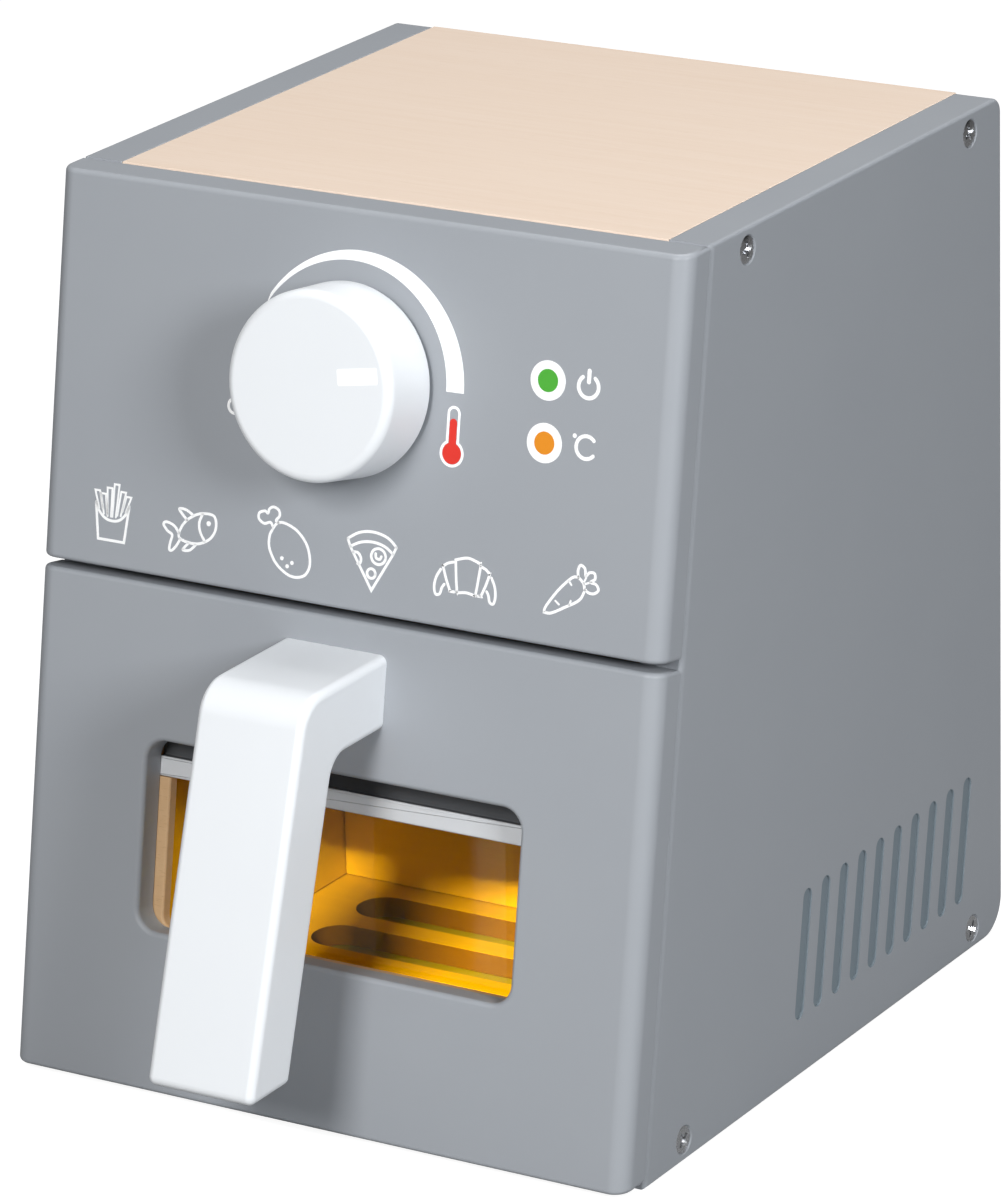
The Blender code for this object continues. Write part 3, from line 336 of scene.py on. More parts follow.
# %% Outlines
def arc(centre, radius, start, end, steps):
    """Lists points on an arc, from one angle to another."""
    return [(centre[0] + radius * math.cos(start + (end - start) * i / steps),
             centre[1] + radius * math.sin(start + (end - start) * i / steps)) for i in range(steps + 1)]


def rounded_rectangle(left, right, low, high, radius, steps=10):
    """Outlines a rectangle with rounded corners, counterclockwise."""
    points = []
    for i, (a, b) in enumerate(((right - radius, low + radius), (right - radius, high - radius),
                                (left + radius, high - radius), (left + radius, low + radius))):
        points += arc((a, b), radius, (i - 1) * TURN / 4, i * TURN / 4, steps)
    return points


def offset(outline, distance, shares={}):
    """Moves an outline outward, or inward if the distance is negative. shares changes it for some edges."""
    count = len(outline)
    area = sum(outline[i - 1][0] * outline[i][1] - outline[i][0] * outline[i - 1][1] for i in range(count))
    turn = 1 if area > 0 else -1
    edges = []
    for i in range(count):
        a, b = Vector(outline[i]), Vector(outline[(i + 1) % count])
        way = (b - a).normalized()
        edges.append((way, Vector((way.y, -way.x)) * turn, distance * shares.get(i, 1)))
    moved = []
    for i in range(count):
        (way, out, far), (next_way, next_out, next_far) = edges[i - 1], edges[i]
        cross = way.x * next_way.y - way.y * next_way.x
        spot = Vector(outline[i])
        if abs(cross) < 1e-6:
            moved.append(tuple(spot + out * far))
            continue
        start, other = spot + out * far, spot + next_out * next_far
        gap = other - start
        moved.append(tuple(start + way * ((gap.x * next_way.y - gap.y * next_way.x) / cross)))
    return moved


quarter_circle = arc((0, 0), 1, 0, TURN / 4, 4)
print("a quarter circle in four steps:", [(round(a, 2), round(b, 2)) for a, b in quarter_circle])

# %% [markdown]
# The outline lies in two of the three directions and is pushed along the third. Three small functions say
# which, so the same board maker serves for boards that run across the toy, into it and up the slope.

# %% Directions and stacks
def along_x(a, b, t):
    return t, a, b


def along_y(a, b, t):
    return a, t, b


def along_z(a, b, t):
    return a, b, t


def stack(bm, rings):
    """Skins a stack of equal rings into a closed shape."""
    rows = [[bm.verts.new(spot) for spot in ring] for ring in rings]
    bm.faces.new(list(reversed(rows[0])))
    bm.faces.new(rows[-1])
    for lower, upper in zip(rows, rows[1:]):
        for i in range(len(lower)):
            j = (i + 1) % len(lower)
            bm.faces.new((lower[i], lower[j], upper[j], upper[i]))
    return bm


def quarter(radius, steps):
    """Lists how far in and how far along each ring of an eased edge lies, from the end inward."""
    if not radius:
        return [(0, 0)]
    angles = [TURN / 4 * i / steps for i in range(steps + 1)]
    return [(radius - radius * math.sin(angle), radius - radius * math.cos(angle)) for angle in angles]


print("an eased edge of 1 mm has rings at", [tuple(round(v, 2) for v in step) for step in quarter(1.0, 4)])

# %% Boards and cutters
OVERRUN = 1.0


def eased_board(name, outline, low, high, lay, ease_low, ease_high, steps, shares={}):
    """Makes a board with rounded edges. low and high are levels, or functions of the outline's point."""
    rings = []
    for end, ease, way in ((low, ease_low, 1), (high, ease_high, -1)):
        side = []
        for inward, along in quarter(ease, steps):
            ring = offset(outline, -inward, shares)
            side.append([lay(a, b, (end(a, b) if callable(end) else end) + way * along) for a, b in ring])
        rings += side if way == 1 else side[::-1]
    return to_object(name, stack(bmesh.new(), rings))


def flared_cutter(bm, outline, floor, mouth, lay, flare, steps=5, flare_floor=0):
    """Adds a cutter for a pocket or a hole whose rim comes out rounded. It runs from floor to mouth."""
    way = 1 if mouth > floor else -1
    rings = []
    if flare_floor:
        rings.append([lay(a, b, floor - way * OVERRUN) for a, b in offset(outline, flare_floor)])
        for out, along in quarter(flare_floor, steps):
            rings.append([lay(a, b, floor + way * along) for a, b in offset(outline, out)])
    else:
        rings.append([lay(a, b, floor) for a, b in outline])
    for out, along in reversed(quarter(flare, steps)):
        rings.append([lay(a, b, mouth - way * along) for a, b in offset(outline, out)])
    rings.append([lay(a, b, mouth + way * OVERRUN) for a, b in offset(outline, flare)])
    return stack(bm, rings)


# %% Pieces
def to_object(name, bm):
    """Turns a bmesh in millimetres into an object in metres."""
    bmesh.ops.remove_doubles(bm, verts=bm.verts, dist=1e-5)
    bmesh.ops.dissolve_degenerate(bm, edges=bm.edges, dist=1e-5)
    bmesh.ops.recalc_face_normals(bm, faces=bm.faces)
    bmesh.ops.scale(bm, vec=(MM, MM, MM), verts=bm.verts)
    mesh = bpy.data.meshes.new(name)
    bm.to_mesh(mesh)
    bm.free()
    made = bpy.data.objects.new(name, mesh)
    bpy.context.scene.collection.objects.link(made)
    return made


def carve(piece, *cutters):
    """Cuts closed shapes out of a piece, all in its own frame, and keeps the plain mesh that results."""
    helpers = [to_object("cutter", cutter) for cutter in cutters]
    for helper in helpers:
        modifier = piece.modifiers.new("cut", "BOOLEAN")
        modifier.operation, modifier.solver, modifier.object = "DIFFERENCE", "EXACT", helper
    graph = bpy.context.evaluated_depsgraph_get()
    mesh = bpy.data.meshes.new_from_object(piece.evaluated_get(graph))
    piece.modifiers.clear()
    piece.data = mesh
    for helper in helpers:
        bpy.data.objects.remove(helper)


def join_pieces(piece, other):
    """Joins another object's mesh into a piece."""
    bm = bmesh.new()
    bm.from_mesh(piece.data)
    bm.from_mesh(other.data)
    bm.to_mesh(piece.data)
    bm.free()
    bpy.data.objects.remove(other)


def two_finishes(piece, main, second, is_second):
    """Gives a piece two finishes. is_second judges a face by its centre, in millimetres, and its normal."""
    piece.data.materials.append(main)
    piece.data.materials.append(second)
    for face in piece.data.polygons:
        face.material_index = int(is_second(face.center / MM, face.normal))


def dress(piece, body, finish, nodes=(), place=None, angle=32, shared=False):
    """Shades, finishes and places a piece and lets it ride on its body. A shared mesh isn't moved."""
    mesh = piece.data
    if finish:
        mesh.materials.clear()
        mesh.materials.append(finish)
    mesh.shade_smooth()
    mesh.set_sharp_from_angle(angle=math.radians(angle))
    even = piece.modifiers.new("even", "WEIGHTED_NORMAL")
    even.keep_sharp = True
    if place and shared:
        piece.matrix_world = place
    elif place:
        mesh.transform(place)
    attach(piece, body)
    if nodes:
        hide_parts(*nodes)
    return piece


# %% [markdown]
# ## Side boards
# Each side is one board of about 11 mm, cut to the slanted outline with a rounded foot at the back. Its
# outer edges are eased by a millimetre, and twice as far along the front edge, which catches a broad
# highlight. Ten vents are pressed into the outside, about half a millimetre deep with soft rims, and
# painted darker. A modelled dent catches the light along its rim from every side, which a painted stripe
# doesn't. The screws sit in countersinks.

# %% Slots, turned shapes and places
def capsule(y, z, length, width, tilt, steps=8):
    """Outlines a slot with full round ends, its length along the second axis before the tilt."""
    reach = (length - width) / 2
    ends = arc((0, reach), width / 2, 0, TURN / 2, steps) + arc((0, -reach), width / 2, TURN / 2, TURN, steps)
    c, s = math.cos(tilt), math.sin(tilt)
    return [(y + a * c + b * s, z - a * s + b * c) for a, b in ends]


def turned(bm, profile, segments, place=Matrix()):
    """Turns a profile of (radius, height) points round the Z of a place in millimetres."""
    ways = [(math.cos(TURN * i / segments), math.sin(TURN * i / segments)) for i in range(segments)]
    rings = [[bm.verts.new(place @ Vector((r * c, r * s, h))) for c, s in (ways if r else ways[:1])]
             for r, h in profile]
    for lower, upper in zip(rings, rings[1:]):
        for i in range(segments):
            j = (i + 1) % segments
            corners = [ring[k % len(ring)] for ring, k in ((lower, i), (lower, j), (upper, j), (upper, i))]
            corners = [v for k, v in enumerate(corners) if v not in corners[:k]]
            if len(corners) > 2:
                bm.faces.new(corners)
    return bm


def facing(x, y, z, direction):
    """Gives the place, in millimetres, of a turned shape whose +Z looks along a direction."""
    turn = Vector((0, 0, 1)).rotation_difference(Vector(direction)).to_matrix().to_4x4()
    return Matrix.Translation((x, y, z)) @ turn


print("a slot of 10 by 4 mm has", len(capsule(0, 0, 10, 4, 0)), "points")

# %% Side boards
SIDES = (("left", -1), ("right", 1))
REAR_ROUND, TOP_ROUND = 9.5, 4.0
INNER_EASE, OUTER_EASE, FRONT_SHARE = 0.3, 1.0, 2
VENTS, VENT_PITCH, VENT_Y, VENT_Z = 10, 9.3, 120.0, 31.1
VENT_LENGTH, VENT_WIDTH, VENT_DEPTH, VENT_RIM = 33, 4.4, 0.6, 0.2
COUNTERSINK = [(0, -6), (2.05, -6), (2.05, -2.2), (3.55, -0.35), (3.7, 0), (3.7, 1), (0, 1)]
# Where each screw sits in the case's Y and Z, and how far its cross is turned.
SCREW_SPOTS = {"top_front": (55.623, 214.5, 8), "top_rear": (166.8, 214.5, 20),
               "base_front": (18.77, 5.5, 38), "base_rear": (166.8, 5.5, 62)}


def side_outline():
    """Outlines a side board in Y and Z, with its rear corners rounded. Its last edge is the slanted front."""
    points = [(0, 0)] + arc((CASE_DEPTH - REAR_ROUND, REAR_ROUND), REAR_ROUND, -TURN / 4, 0, 14)
    points += arc((CASE_DEPTH - TOP_ROUND, CASE_HEIGHT - TOP_ROUND), TOP_ROUND, 0, TURN / 4, 8)
    return points + [(CASE_HEIGHT * math.tan(LEAN), CASE_HEIGHT)]


def in_a_vent(spot, normal):
    """Tells whether a face of a side board lies inside a vent."""
    deep = HALF_WIDTH - 1 < abs(spot.x) < HALF_WIDTH - 0.004
    in_row = abs(spot.y - VENT_Y) < VENTS * VENT_PITCH / 2 + 3
    return deep and in_row and abs(spot.z - VENT_Z) < VENT_LENGTH / 2 + 1


def side_board(word, side):
    """Makes one side board with its vents and countersinks."""
    outer, inner = side * HALF_WIDTH, side * (HALF_WIDTH - SIDE_THICK)
    eases = (INNER_EASE, OUTER_EASE) if side > 0 else (OUTER_EASE, INNER_EASE)
    outline = side_outline()
    board = eased_board(f"side_board_{word}_finish", outline, min(outer, inner), max(outer, inner), along_x,
                        *eases, 5, {len(outline) - 1: FRONT_SHARE})
    vents, sinks = bmesh.new(), bmesh.new()
    for i in range(VENTS):
        spot = capsule(VENT_Y + (i - (VENTS - 1) / 2) * VENT_PITCH, VENT_Z, VENT_LENGTH - 2 * VENT_RIM,
                       VENT_WIDTH - 2 * VENT_RIM, LEAN)
        flared_cutter(vents, spot, outer - side * VENT_DEPTH, outer, along_x, VENT_RIM)
    for y, z, twist in SCREW_SPOTS.values():
        turned(sinks, COUNTERSINK, 40, facing(outer, y, z, (side, 0, 0)))
    carve(board, vents, sinks)
    two_finishes(board, grey_lacquer, vent_lacquer, in_a_vent)
    return dress(board, "case", None, [f"side_board_{word}"], CASE)


for word, side in SIDES:
    made = side_board(word, side)
    print(made.name, len(made.data.polygons), "faces")

# %% [markdown]
# ## Casing screws
# The screws are countersunk, with a cross recess. The recess is a cross whose wings slope inward as it goes
# down, and it holds both a deep shadow and small bright glints, so it is cut and not painted. All of them
# share one mesh.

# %% Casing screws
SCREW_LENGTH, SCREW_SINK = 29.8, 0.2
SCREW_PROFILE = [(0, -SCREW_LENGTH), (1.75, 3.5 - SCREW_LENGTH), (1.75, -2.4), (3.25, -0.55), (3.4, -0.3),
                 (3.36, -0.06), (3.25, 0.0), (1.8, 0.08), (0, 0.1)]


def cross_recess(top, depth, reach, width):
    """Makes the cutter of a cross recess. Its wings get shorter and thinner towards the floor."""
    rings = []
    for level, share in ((top + 1, 1.12), (top, 1.0), (top - depth * 0.55, 0.62), (top - depth, 0.22)):
        r, w = reach * share, width * (0.55 + 0.45 * share)
        cross = ((w, w), (r, w), (r, -w), (w, -w), (w, -r), (-w, -r), (-w, -w), (-r, -w), (-r, w), (-w, w),
                 (-w, r), (w, r))
        rings.append([along_z(x, y, level) for x, y in cross])
    return stack(bmesh.new(), rings[::-1])


screw_mesh = None
for word, side in SIDES:
    for label, (y, z, twist) in SCREW_SPOTS.items():
        node = f"casing_screw_{word}_{label}"
        if screw_mesh:
            screw = bpy.data.objects.new(node + "_finish", screw_mesh)
            bpy.context.scene.collection.objects.link(screw)
        else:
            screw = to_object(node + "_finish", turned(bmesh.new(), SCREW_PROFILE, 48))
            carve(screw, cross_recess(top=0.05, depth=1.9, reach=2.15, width=0.5))
            screw_mesh = screw.data
        seat = facing(side * (HALF_WIDTH - SCREW_SINK), y, z, (side, 0, 0))
        seat.translation *= MM
        turn = Matrix.Rotation(math.radians(twist), 4, "Z")
        dress(screw, "case", zinc_steel, [node], CASE @ seat @ turn, shared=True)
print("screws with heads of 6.8 mm:", len(SCREW_SPOTS) * len(SIDES))

# %% [markdown]
# ## Top, base, back and shelf
# The top board lies between the sides, flush with them, and carries the veneer. The base and the thin back
# are lacquered grey like the sides, and the shelf over the drawer is bare plywood. Two beech strips guide
# the drawer. All of them are plain boards with slightly broken edges. Where a board is a plain block, its
# size is read from the CAD model's own box.

# %% Level boards
TOP_FOOT, TOP_REAR_GAP, TOP_HALF = 209, 2.2, 75.5
TOP_EASE, LONG_EASE, SAWN_EASE = 0.2, 0.3, 0.25


def slanted(low, high, rear):
    """Outlines a board in Y and Z whose front edge follows the lean."""
    return [(low * math.tan(LEAN), low), (rear, low), (rear, high), (high * math.tan(LEAN), high)]


def block(y0, y1, z0, z1):
    return [(y0, z0), (y1, z0), (y1, z1), (y0, z1)]


def node_block(node):
    """Gives the case-frame outline and the X range of a node that is a plain block."""
    low, high = (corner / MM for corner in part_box(node))
    return block(low.y - case_front, high.y - case_front, low.z, high.z), low.x, high.x


def soften(outline, radius, steps=4):
    """Rounds every corner of an outline by a small radius."""
    points = []
    count = len(outline)
    for i in range(count):
        before, spot, after = (Vector(outline[k % count]) for k in (i - 1, i, i + 1))
        a, b = (before - spot).normalized(), (after - spot).normalized()
        half = math.acos(max(-1, min(1, a.dot(b)))) / 2
        reach = radius / math.tan(half)
        start, end = spot + a * reach, spot + b * reach
        for k in range(steps + 1):
            t = k / steps
            points.append(tuple(start * (1 - t) ** 2 + spot * 2 * t * (1 - t) + end * t ** 2))
    return points


def lengthwise(node, outline, low, high, finish, slot, body="case", ease=LONG_EASE):
    """Makes a board that runs along X, with its long edges eased as well as its sawn ends."""
    outline = soften(outline, ease)
    board = eased_board(node + "_finish", outline, low, high, along_x, SAWN_EASE, SAWN_EASE, 3)
    return dress(board, body, finish, [node], CASE)


lengthwise("top_board", slanted(TOP_FOOT, CASE_HEIGHT, CASE_DEPTH - TOP_REAR_GAP), -TOP_HALF, TOP_HALF,
           veneer, "pale_veneer", ease=TOP_EASE)
for node, finish, slot in (("base_board", grey_lacquer, "grey_lacquer"),
                           ("inner_shelf", plywood_level, "plywood"),
                           ("back_board", grey_lacquer, "grey_lacquer"),
                           ("drawer_guide_left", beech, "beech"), ("drawer_guide_right", beech, "beech")):
    outline, low, high = node_block(node)
    made = lengthwise(node, outline, low, high, finish, slot)
    print(made.name, "from x =", round(low, 2), "to", round(high, 2), "mm")

# %% [markdown]
# ## Front boards
# The upper panel and the drawer's front are 10 mm boards with well rounded upright edges, which catch a
# broad highlight. Their ends are eased less. The profile is drawn across the board and pushed up the slope,
# and the panel's top and the drawer front's foot are cut level.

# %% Front boards
UPRIGHT_ROUND, END_EASE, AXLE_BORE = 4.6, 1.2, 4.4
DRAWER_FOOT, DRAWER_TOP, PANEL_FOOT = 1.8, 126.55, 128.55


def front_board(name, low, high):
    """Makes a front board between two levels up the slope, its two upright front edges well rounded."""
    outline = [(HALF_WIDTH, FRONT_THICK), (-HALF_WIDTH, FRONT_THICK)]
    corner = HALF_WIDTH - UPRIGHT_ROUND
    outline += arc((-corner, UPRIGHT_ROUND), UPRIGHT_ROUND, TURN / 2, TURN * 3 / 4, 12)
    outline += arc((corner, UPRIGHT_ROUND), UPRIGHT_ROUND, TURN * 3 / 4, TURN, 12)
    return eased_board(name, outline, low, high, along_z, END_EASE, END_EASE, 6)


def level_cut(height):
    """Gives how far up the slope a level plane lies at each depth."""
    return lambda a, b: (height + b * math.sin(LEAN)) / math.cos(LEAN)


panel = front_board("upper_panel_finish", PANEL_FOOT, level_cut(CASE_HEIGHT))
BORE_START, BORE_END = -OVERRUN, FRONT_THICK + OVERRUN
bore = [(0, BORE_START), (AXLE_BORE, BORE_START), (AXLE_BORE, BORE_END), (0, BORE_END)]
carve(panel, turned(bmesh.new(), bore, 40, facing(DIAL_X, 0, DIAL_V, (0, 1, 0))))
dress(panel, "case", grey_lacquer, ["upper_panel"], FRONT)
print(panel.name, "rises from", PANEL_FOOT, "mm up the slope")

# %% [markdown]
# The window is a rounded hole with a small round on its front edge. Behind it a wider rebate takes the
# frame. A cutter that flares at its mouth makes the hole and the round in one go.

# %% Drawer front and its window
WINDOW = (-52.6, 52.6, 41.572, 88.742)
WINDOW_CORNER, WINDOW_ROUND, REBATE_DEPTH, REBATE_LAP = 5.4, 1.3, 6.7, 3.2


def slab(outline, *depths):
    """Makes a plain cutter that runs between two depths of the front."""
    return stack(bmesh.new(), [[along_y(a, b, depth) for a, b in outline] for depth in depths])


drawer_front = front_board("drawer_front_finish", level_cut(DRAWER_FOOT), DRAWER_TOP)
hole = rounded_rectangle(*WINDOW, WINDOW_CORNER)
window = flared_cutter(bmesh.new(), hole, FRONT_THICK + OVERRUN, 0, along_y, WINDOW_ROUND)
carve(drawer_front, window, slab(offset(hole, REBATE_LAP), FRONT_THICK + OVERRUN, REBATE_DEPTH))
dress(drawer_front, "drawer", grey_lacquer, ["drawer_front"], FRONT)
print("the window is", round(WINDOW[1] - WINDOW[0], 1), "by", round(WINDOW[3] - WINDOW[2], 1), "mm")

# %% [markdown]
# A frame of natural beech lies in the rebate, and its lip shows inside the window. A pale lacquered rail
# runs across the whole head of the window, let into a seat in the frame. Above the rail's front strip its
# head is set back and painted a dark grey, a painted shade that reads as a deep shadow line. The amber
# pane is screwed on behind them.

# %% Window frame
SIDE_LIP, FOOT_GAP, HEAD_GAP = 2.9, 0.4, 0.8
FRAME_REACH, FRAME_FRONT, FRAME_CORNER, FRAME_EASE = 2.9, 7.0, 2.4, 0.2
OPENING_CORNER, OPENING_ROUND = 3.2, 0.7
RAIL_FOOT, RAIL_OVERLAP, SEAT_SIDE, SEAT_FOOT = WINDOW[3] - 10.2, 1.0, 1.2, 0.15
opening = (WINDOW[0] + SIDE_LIP, WINDOW[1] - SIDE_LIP, WINDOW[2] - FOOT_GAP, WINDOW[3] + HEAD_GAP)
frame_outline = offset(rounded_rectangle(*WINDOW, FRAME_CORNER), FRAME_REACH)
window_frame = eased_board("window_frame_finish", frame_outline, FRAME_FRONT, FRONT_THICK, along_y,
                           FRAME_EASE, FRAME_EASE, 3)
inside = flared_cutter(bmesh.new(), rounded_rectangle(*opening, OPENING_CORNER), FRONT_THICK + OVERRUN / 2,
                       FRAME_FRONT, along_y, OPENING_ROUND)
rail_seat = block(WINDOW[0] - SEAT_SIDE, WINDOW[1] + SEAT_SIDE, RAIL_FOOT - SEAT_FOOT, opening[3])
carve(window_frame, inside, slab(rail_seat, FRONT_THICK + OVERRUN, FRAME_FRONT - OVERRUN))
dress(window_frame, "drawer", beech, ["window_frame"], FRONT)
print("the frame's opening is", round(opening[1] - opening[0], 1), "mm wide")

# %% Rail and pane
RAIL_STRIP, RAIL_CORNER, RAIL_EASE, REAR_EASE = 4.9, 0.3, 0.5, 0.1
HEAD_DEPTH, HEAD_OVERLAP, HEAD_CLEAR = 9.4, 0.2, 0.3
PANE, PANE_FRONT, PANE_THICK, PANE_CORNER, PANE_EASE = (-56.8, 56.8, 30.572, 99.74), 10.3, 3.0, 3.0, 0.15
RAIL_STEP = RAIL_FOOT + RAIL_STRIP
rail_left, rail_right = WINDOW[0] - RAIL_OVERLAP, WINDOW[1] + RAIL_OVERLAP
strip_outline = rounded_rectangle(rail_left, rail_right, RAIL_FOOT, RAIL_STEP, RAIL_CORNER, 2)
rail = eased_board("window_rail_finish", strip_outline, FRAME_FRONT, FRONT_THICK, along_y,
                   RAIL_EASE, REAR_EASE, 4)
head_outline = block(rail_left, rail_right, RAIL_STEP - HEAD_OVERLAP, opening[3] - HEAD_CLEAR)
rail_head = eased_board("rail_head", head_outline, HEAD_DEPTH, FRONT_THICK, along_y, REAR_EASE, REAR_EASE, 2)
join_pieces(rail, rail_head)
# The head above the strip gets the painted shade.
two_finishes(rail, pale_lacquer, painted_shade_lacquer, lambda spot, normal: spot.z > RAIL_STEP - 0.01)
dress(rail, "drawer", None, ["window_rail"], FRONT)

pane_outline = rounded_rectangle(*PANE, PANE_CORNER)
pane = eased_board("window_pane_finish", pane_outline, PANE_FRONT, PANE_FRONT + PANE_THICK, along_y,
                   PANE_EASE, PANE_EASE, 2)
dress(pane, "drawer", amber_acrylic, ["window_pane"], FRONT)
print("the rail is", round(rail_right - rail_left, 1), "mm long, and the pane", PANE_THICK, "mm thick")

# %% [markdown]
# ## Drawer box
# The drawer is a small plywood box. Its floor has four long slots with round ends, like the grid of a real
# basket. The walls of the slots are a dark brown, a painted shade which keeps them apart from the bars when
# light falls through the amber pane. The walls are found by which way their faces look and where they lie.

# %% Drawer box
BOX_HALF, BOX_INNER, BOX_REAR = 70.45, 58.65, 111.0
FLOOR_LOW, FLOOR_HIGH, WALL_FOOT, WALL_HEAD, WALL_EASE = 11.5, 17.0, 17.3, 100.0, 0.6
for word, side in SIDES:
    ends = sorted((side * BOX_INNER, side * BOX_HALF))
    lengthwise(f"drawer_side_{word}", slanted(WALL_FOOT, WALL_HEAD, BOX_REAR), *ends, plywood_side, "plywood",
               "drawer", WALL_EASE)
outline, low, high = node_block("drawer_back")
lengthwise("drawer_back", outline, low, high, plywood_back, "plywood", "drawer", WALL_EASE)
print("the box is", 2 * BOX_HALF, "mm wide")

# %% Slotted floor
SLOTS, SLOT_LENGTH, SLOT_WIDTH, SLOT_BAR, SLOT_MARGIN = 4, 90.5, 14.0, 7.0, 10.5
SLOT_EASE, FLOOR_EASE = 0.2, 0.3


def in_a_slot(spot, normal):
    """Tells whether a face of the drawer's floor is the wall of a slot."""
    return abs(normal.z) < 0.5 and abs(spot.x) < SLOT_LENGTH / 2 + 1 and 10 < spot.y < BOX_REAR - 2


tray_outline = soften(slanted(FLOOR_LOW, FLOOR_HIGH, BOX_REAR), FLOOR_EASE)
tray = eased_board("drawer_floor_finish", tray_outline, -BOX_HALF, BOX_HALF, along_x,
                   FLOOR_EASE, FLOOR_EASE, 3)
slots = bmesh.new()
for i in range(SLOTS):
    y = BOX_REAR - SLOT_MARGIN - SLOT_BAR - SLOT_WIDTH / 2 - i * (SLOT_WIDTH + SLOT_BAR)
    flared_cutter(slots, capsule(0, y, SLOT_LENGTH, SLOT_WIDTH, TURN / 4, 16), FLOOR_LOW, FLOOR_HIGH, along_z,
                  SLOT_EASE, 3, SLOT_EASE)
carve(tray, slots)
# The slot walls get the painted shade.
two_finishes(tray, plywood_level, painted_shade_slot_wall, in_a_slot)
dress(tray, "drawer", None, ["drawer_floor"], CASE)
print(SLOTS, "slots of", SLOT_LENGTH, "by", SLOT_WIDTH, "mm")

# %% [markdown]
# ## Handle
# The handle is bent from one thick strip: a short arm comes straight out of the drawer's front and a long
# stem slopes down from it. Its profile is drawn from the side and pushed across its width, with all edges
# rounded by 2 mm. The end that meets the drawer stays square.

# %% Handle
HANDLE_X, HANDLE_HALF, HANDLE_EASE = -1.15, 14.7, 2.0
ARM_THICK, ARM_DROP, ARM_REACH = 17.7, 8.7, 31.8
STEM_THICK, HANDLE_FOOT, HANDLE_LEAN = 16.5, 26.8, math.radians(18.3)
OUTER_BEND, INNER_BEND, TOE_ROUND = 10, 7, 2.05


def rounded_corner(before, spot, after, radius, steps=8):
    """Lists the points of an arc that rounds one corner of an outline."""
    a, b = (before - spot).normalized(), (after - spot).normalized()
    half = math.acos(a.dot(b)) / 2
    centre = spot + (a + b).normalized() * (radius / math.sin(half))
    start, end = spot + a * (radius / math.tan(half)), spot + b * (radius / math.tan(half))
    begin = math.atan2(start.y - centre.y, start.x - centre.x)
    turn = math.atan2(end.y - centre.y, end.x - centre.x) - begin
    return arc(centre, radius, begin, begin + (turn + TURN / 2) % TURN - TURN / 2, steps)


def handle_outline():
    """Outlines the handle in Y and Z of the case. Its last edge is the seat against the drawer's front."""
    tan_stem, tan_lean = math.tan(HANDLE_LEAN), math.tan(LEAN)
    top = DRAWER_TOP * math.cos(LEAN) - ARM_DROP + FRONT_BACK * math.sin(LEAN)
    low = top - ARM_THICK
    face = -FRONT_BACK / math.cos(LEAN) - 0.02
    reach = -(FRONT_BACK + 0.3) / math.cos(LEAN) + low * tan_lean - ARM_REACH
    inner = reach + STEM_THICK / math.cos(HANDLE_LEAN)
    bend, stem = math.tan((TURN / 4 - HANDLE_LEAN) / 2), TURN / 2 - HANDLE_LEAN
    corner = inner - ARM_THICK * tan_stem
    outside = arc((reach + OUTER_BEND * bend, top - OUTER_BEND), OUTER_BEND, TURN / 4, stem, 16)
    inside = arc((corner + INNER_BEND * bend, low - INNER_BEND), INNER_BEND, stem, TURN / 4, 14)
    slope = (top - HANDLE_FOOT) * tan_stem
    front_toe, rear_toe = Vector((reach - slope, HANDLE_FOOT)), Vector((inner - slope, HANDLE_FOOT))
    toes = (rounded_corner(Vector(outside[-1]), front_toe, rear_toe, TOE_ROUND)
            + rounded_corner(front_toe, rear_toe, Vector(inside[0]), TOE_ROUND))
    return [(face + top * tan_lean, top)] + outside + toes + inside + [(face + low * tan_lean, low)]


outline = handle_outline()
handle = eased_board("handle_finish", outline, HANDLE_X - HANDLE_HALF, HANDLE_X + HANDLE_HALF, along_x,
                     HANDLE_EASE, HANDLE_EASE, 8, {len(outline) - 1: 0})
dress(handle, "drawer", white_lacquer, ["handle"], CASE)
print("the handle's foot is", round(min(z for y, z in outline), 1), "mm above the table")

# %% [markdown]
# ## Dial
# The dial is turned from one piece of wood, with a broad round on its rim and a slight taper, and lacquered
# white. It stands a little off the panel on a felt washer. A short bar is printed on its face as a pointer.
# The shape is a profile turned round the axle, as on a lathe, so it stays true at every angle the dial is
# turned to.

# %% Dial
DIAL_RADIUS, DIAL_TAPER, DIAL_REACH, DIAL_LIFT, RIM = 23.3, 0.6, 18.3, 1.2, 2.4
AXLE_HOLE, AXLE_HOLE_DEPTH = 4.3, 9
rim = arc((DIAL_RADIUS - DIAL_TAPER - RIM, DIAL_REACH - RIM), RIM, 0, TURN / 4, 12)
profile = [(0, DIAL_REACH)] + rim[::-1]
profile += [(DIAL_RADIUS - inward, DIAL_LIFT + up) for inward, up in ((0, 0.9), (0.2, 0.4), (0.7, 0))]
hole_end = DIAL_LIFT + AXLE_HOLE_DEPTH
profile += [(AXLE_HOLE, DIAL_LIFT), (AXLE_HOLE, hole_end), (0, hole_end)]
knob = to_object("dial_knob_finish", turned(bmesh.new(), profile, 160))
dress(knob, "dial", white_lacquer, ["dial_knob"], DIAL)
print("the dial is", 2 * DIAL_RADIUS, "mm across")

# %% [markdown]
# ## Printed signs
# Each sign is a thin film of ink with its own outline, so it is modelled as a very thin solid on the board.
# A line is a ribbon that follows a path: two points are set off to the sides of each point of the path, at
# half the line's width.

# %% Ink films
INK_FOOT, INK, LINE = -0.02, 0.04, 0.68


def smooth(points, closed=False, steps=6):
    """Draws a smooth curve through points, as a Catmull-Rom spline."""
    count = len(points)
    spots = [Vector(p) for p in points]
    drawn = []
    for i in range(count if closed else count - 1):
        near = [k % count if closed else max(0, min(count - 1, k)) for k in (i - 1, i, i + 1, i + 2)]
        a, b, c, d = (spots[k] for k in near)
        for k in range(steps):
            t = k / steps
            drawn.append(tuple(0.5 * (2 * b + (c - a) * t + (2 * a - 5 * b + 4 * c - d) * t ** 2
                                      + (3 * b - a - 3 * c + d) * t ** 3)))
    return drawn if closed else drawn + [tuple(spots[-1])]


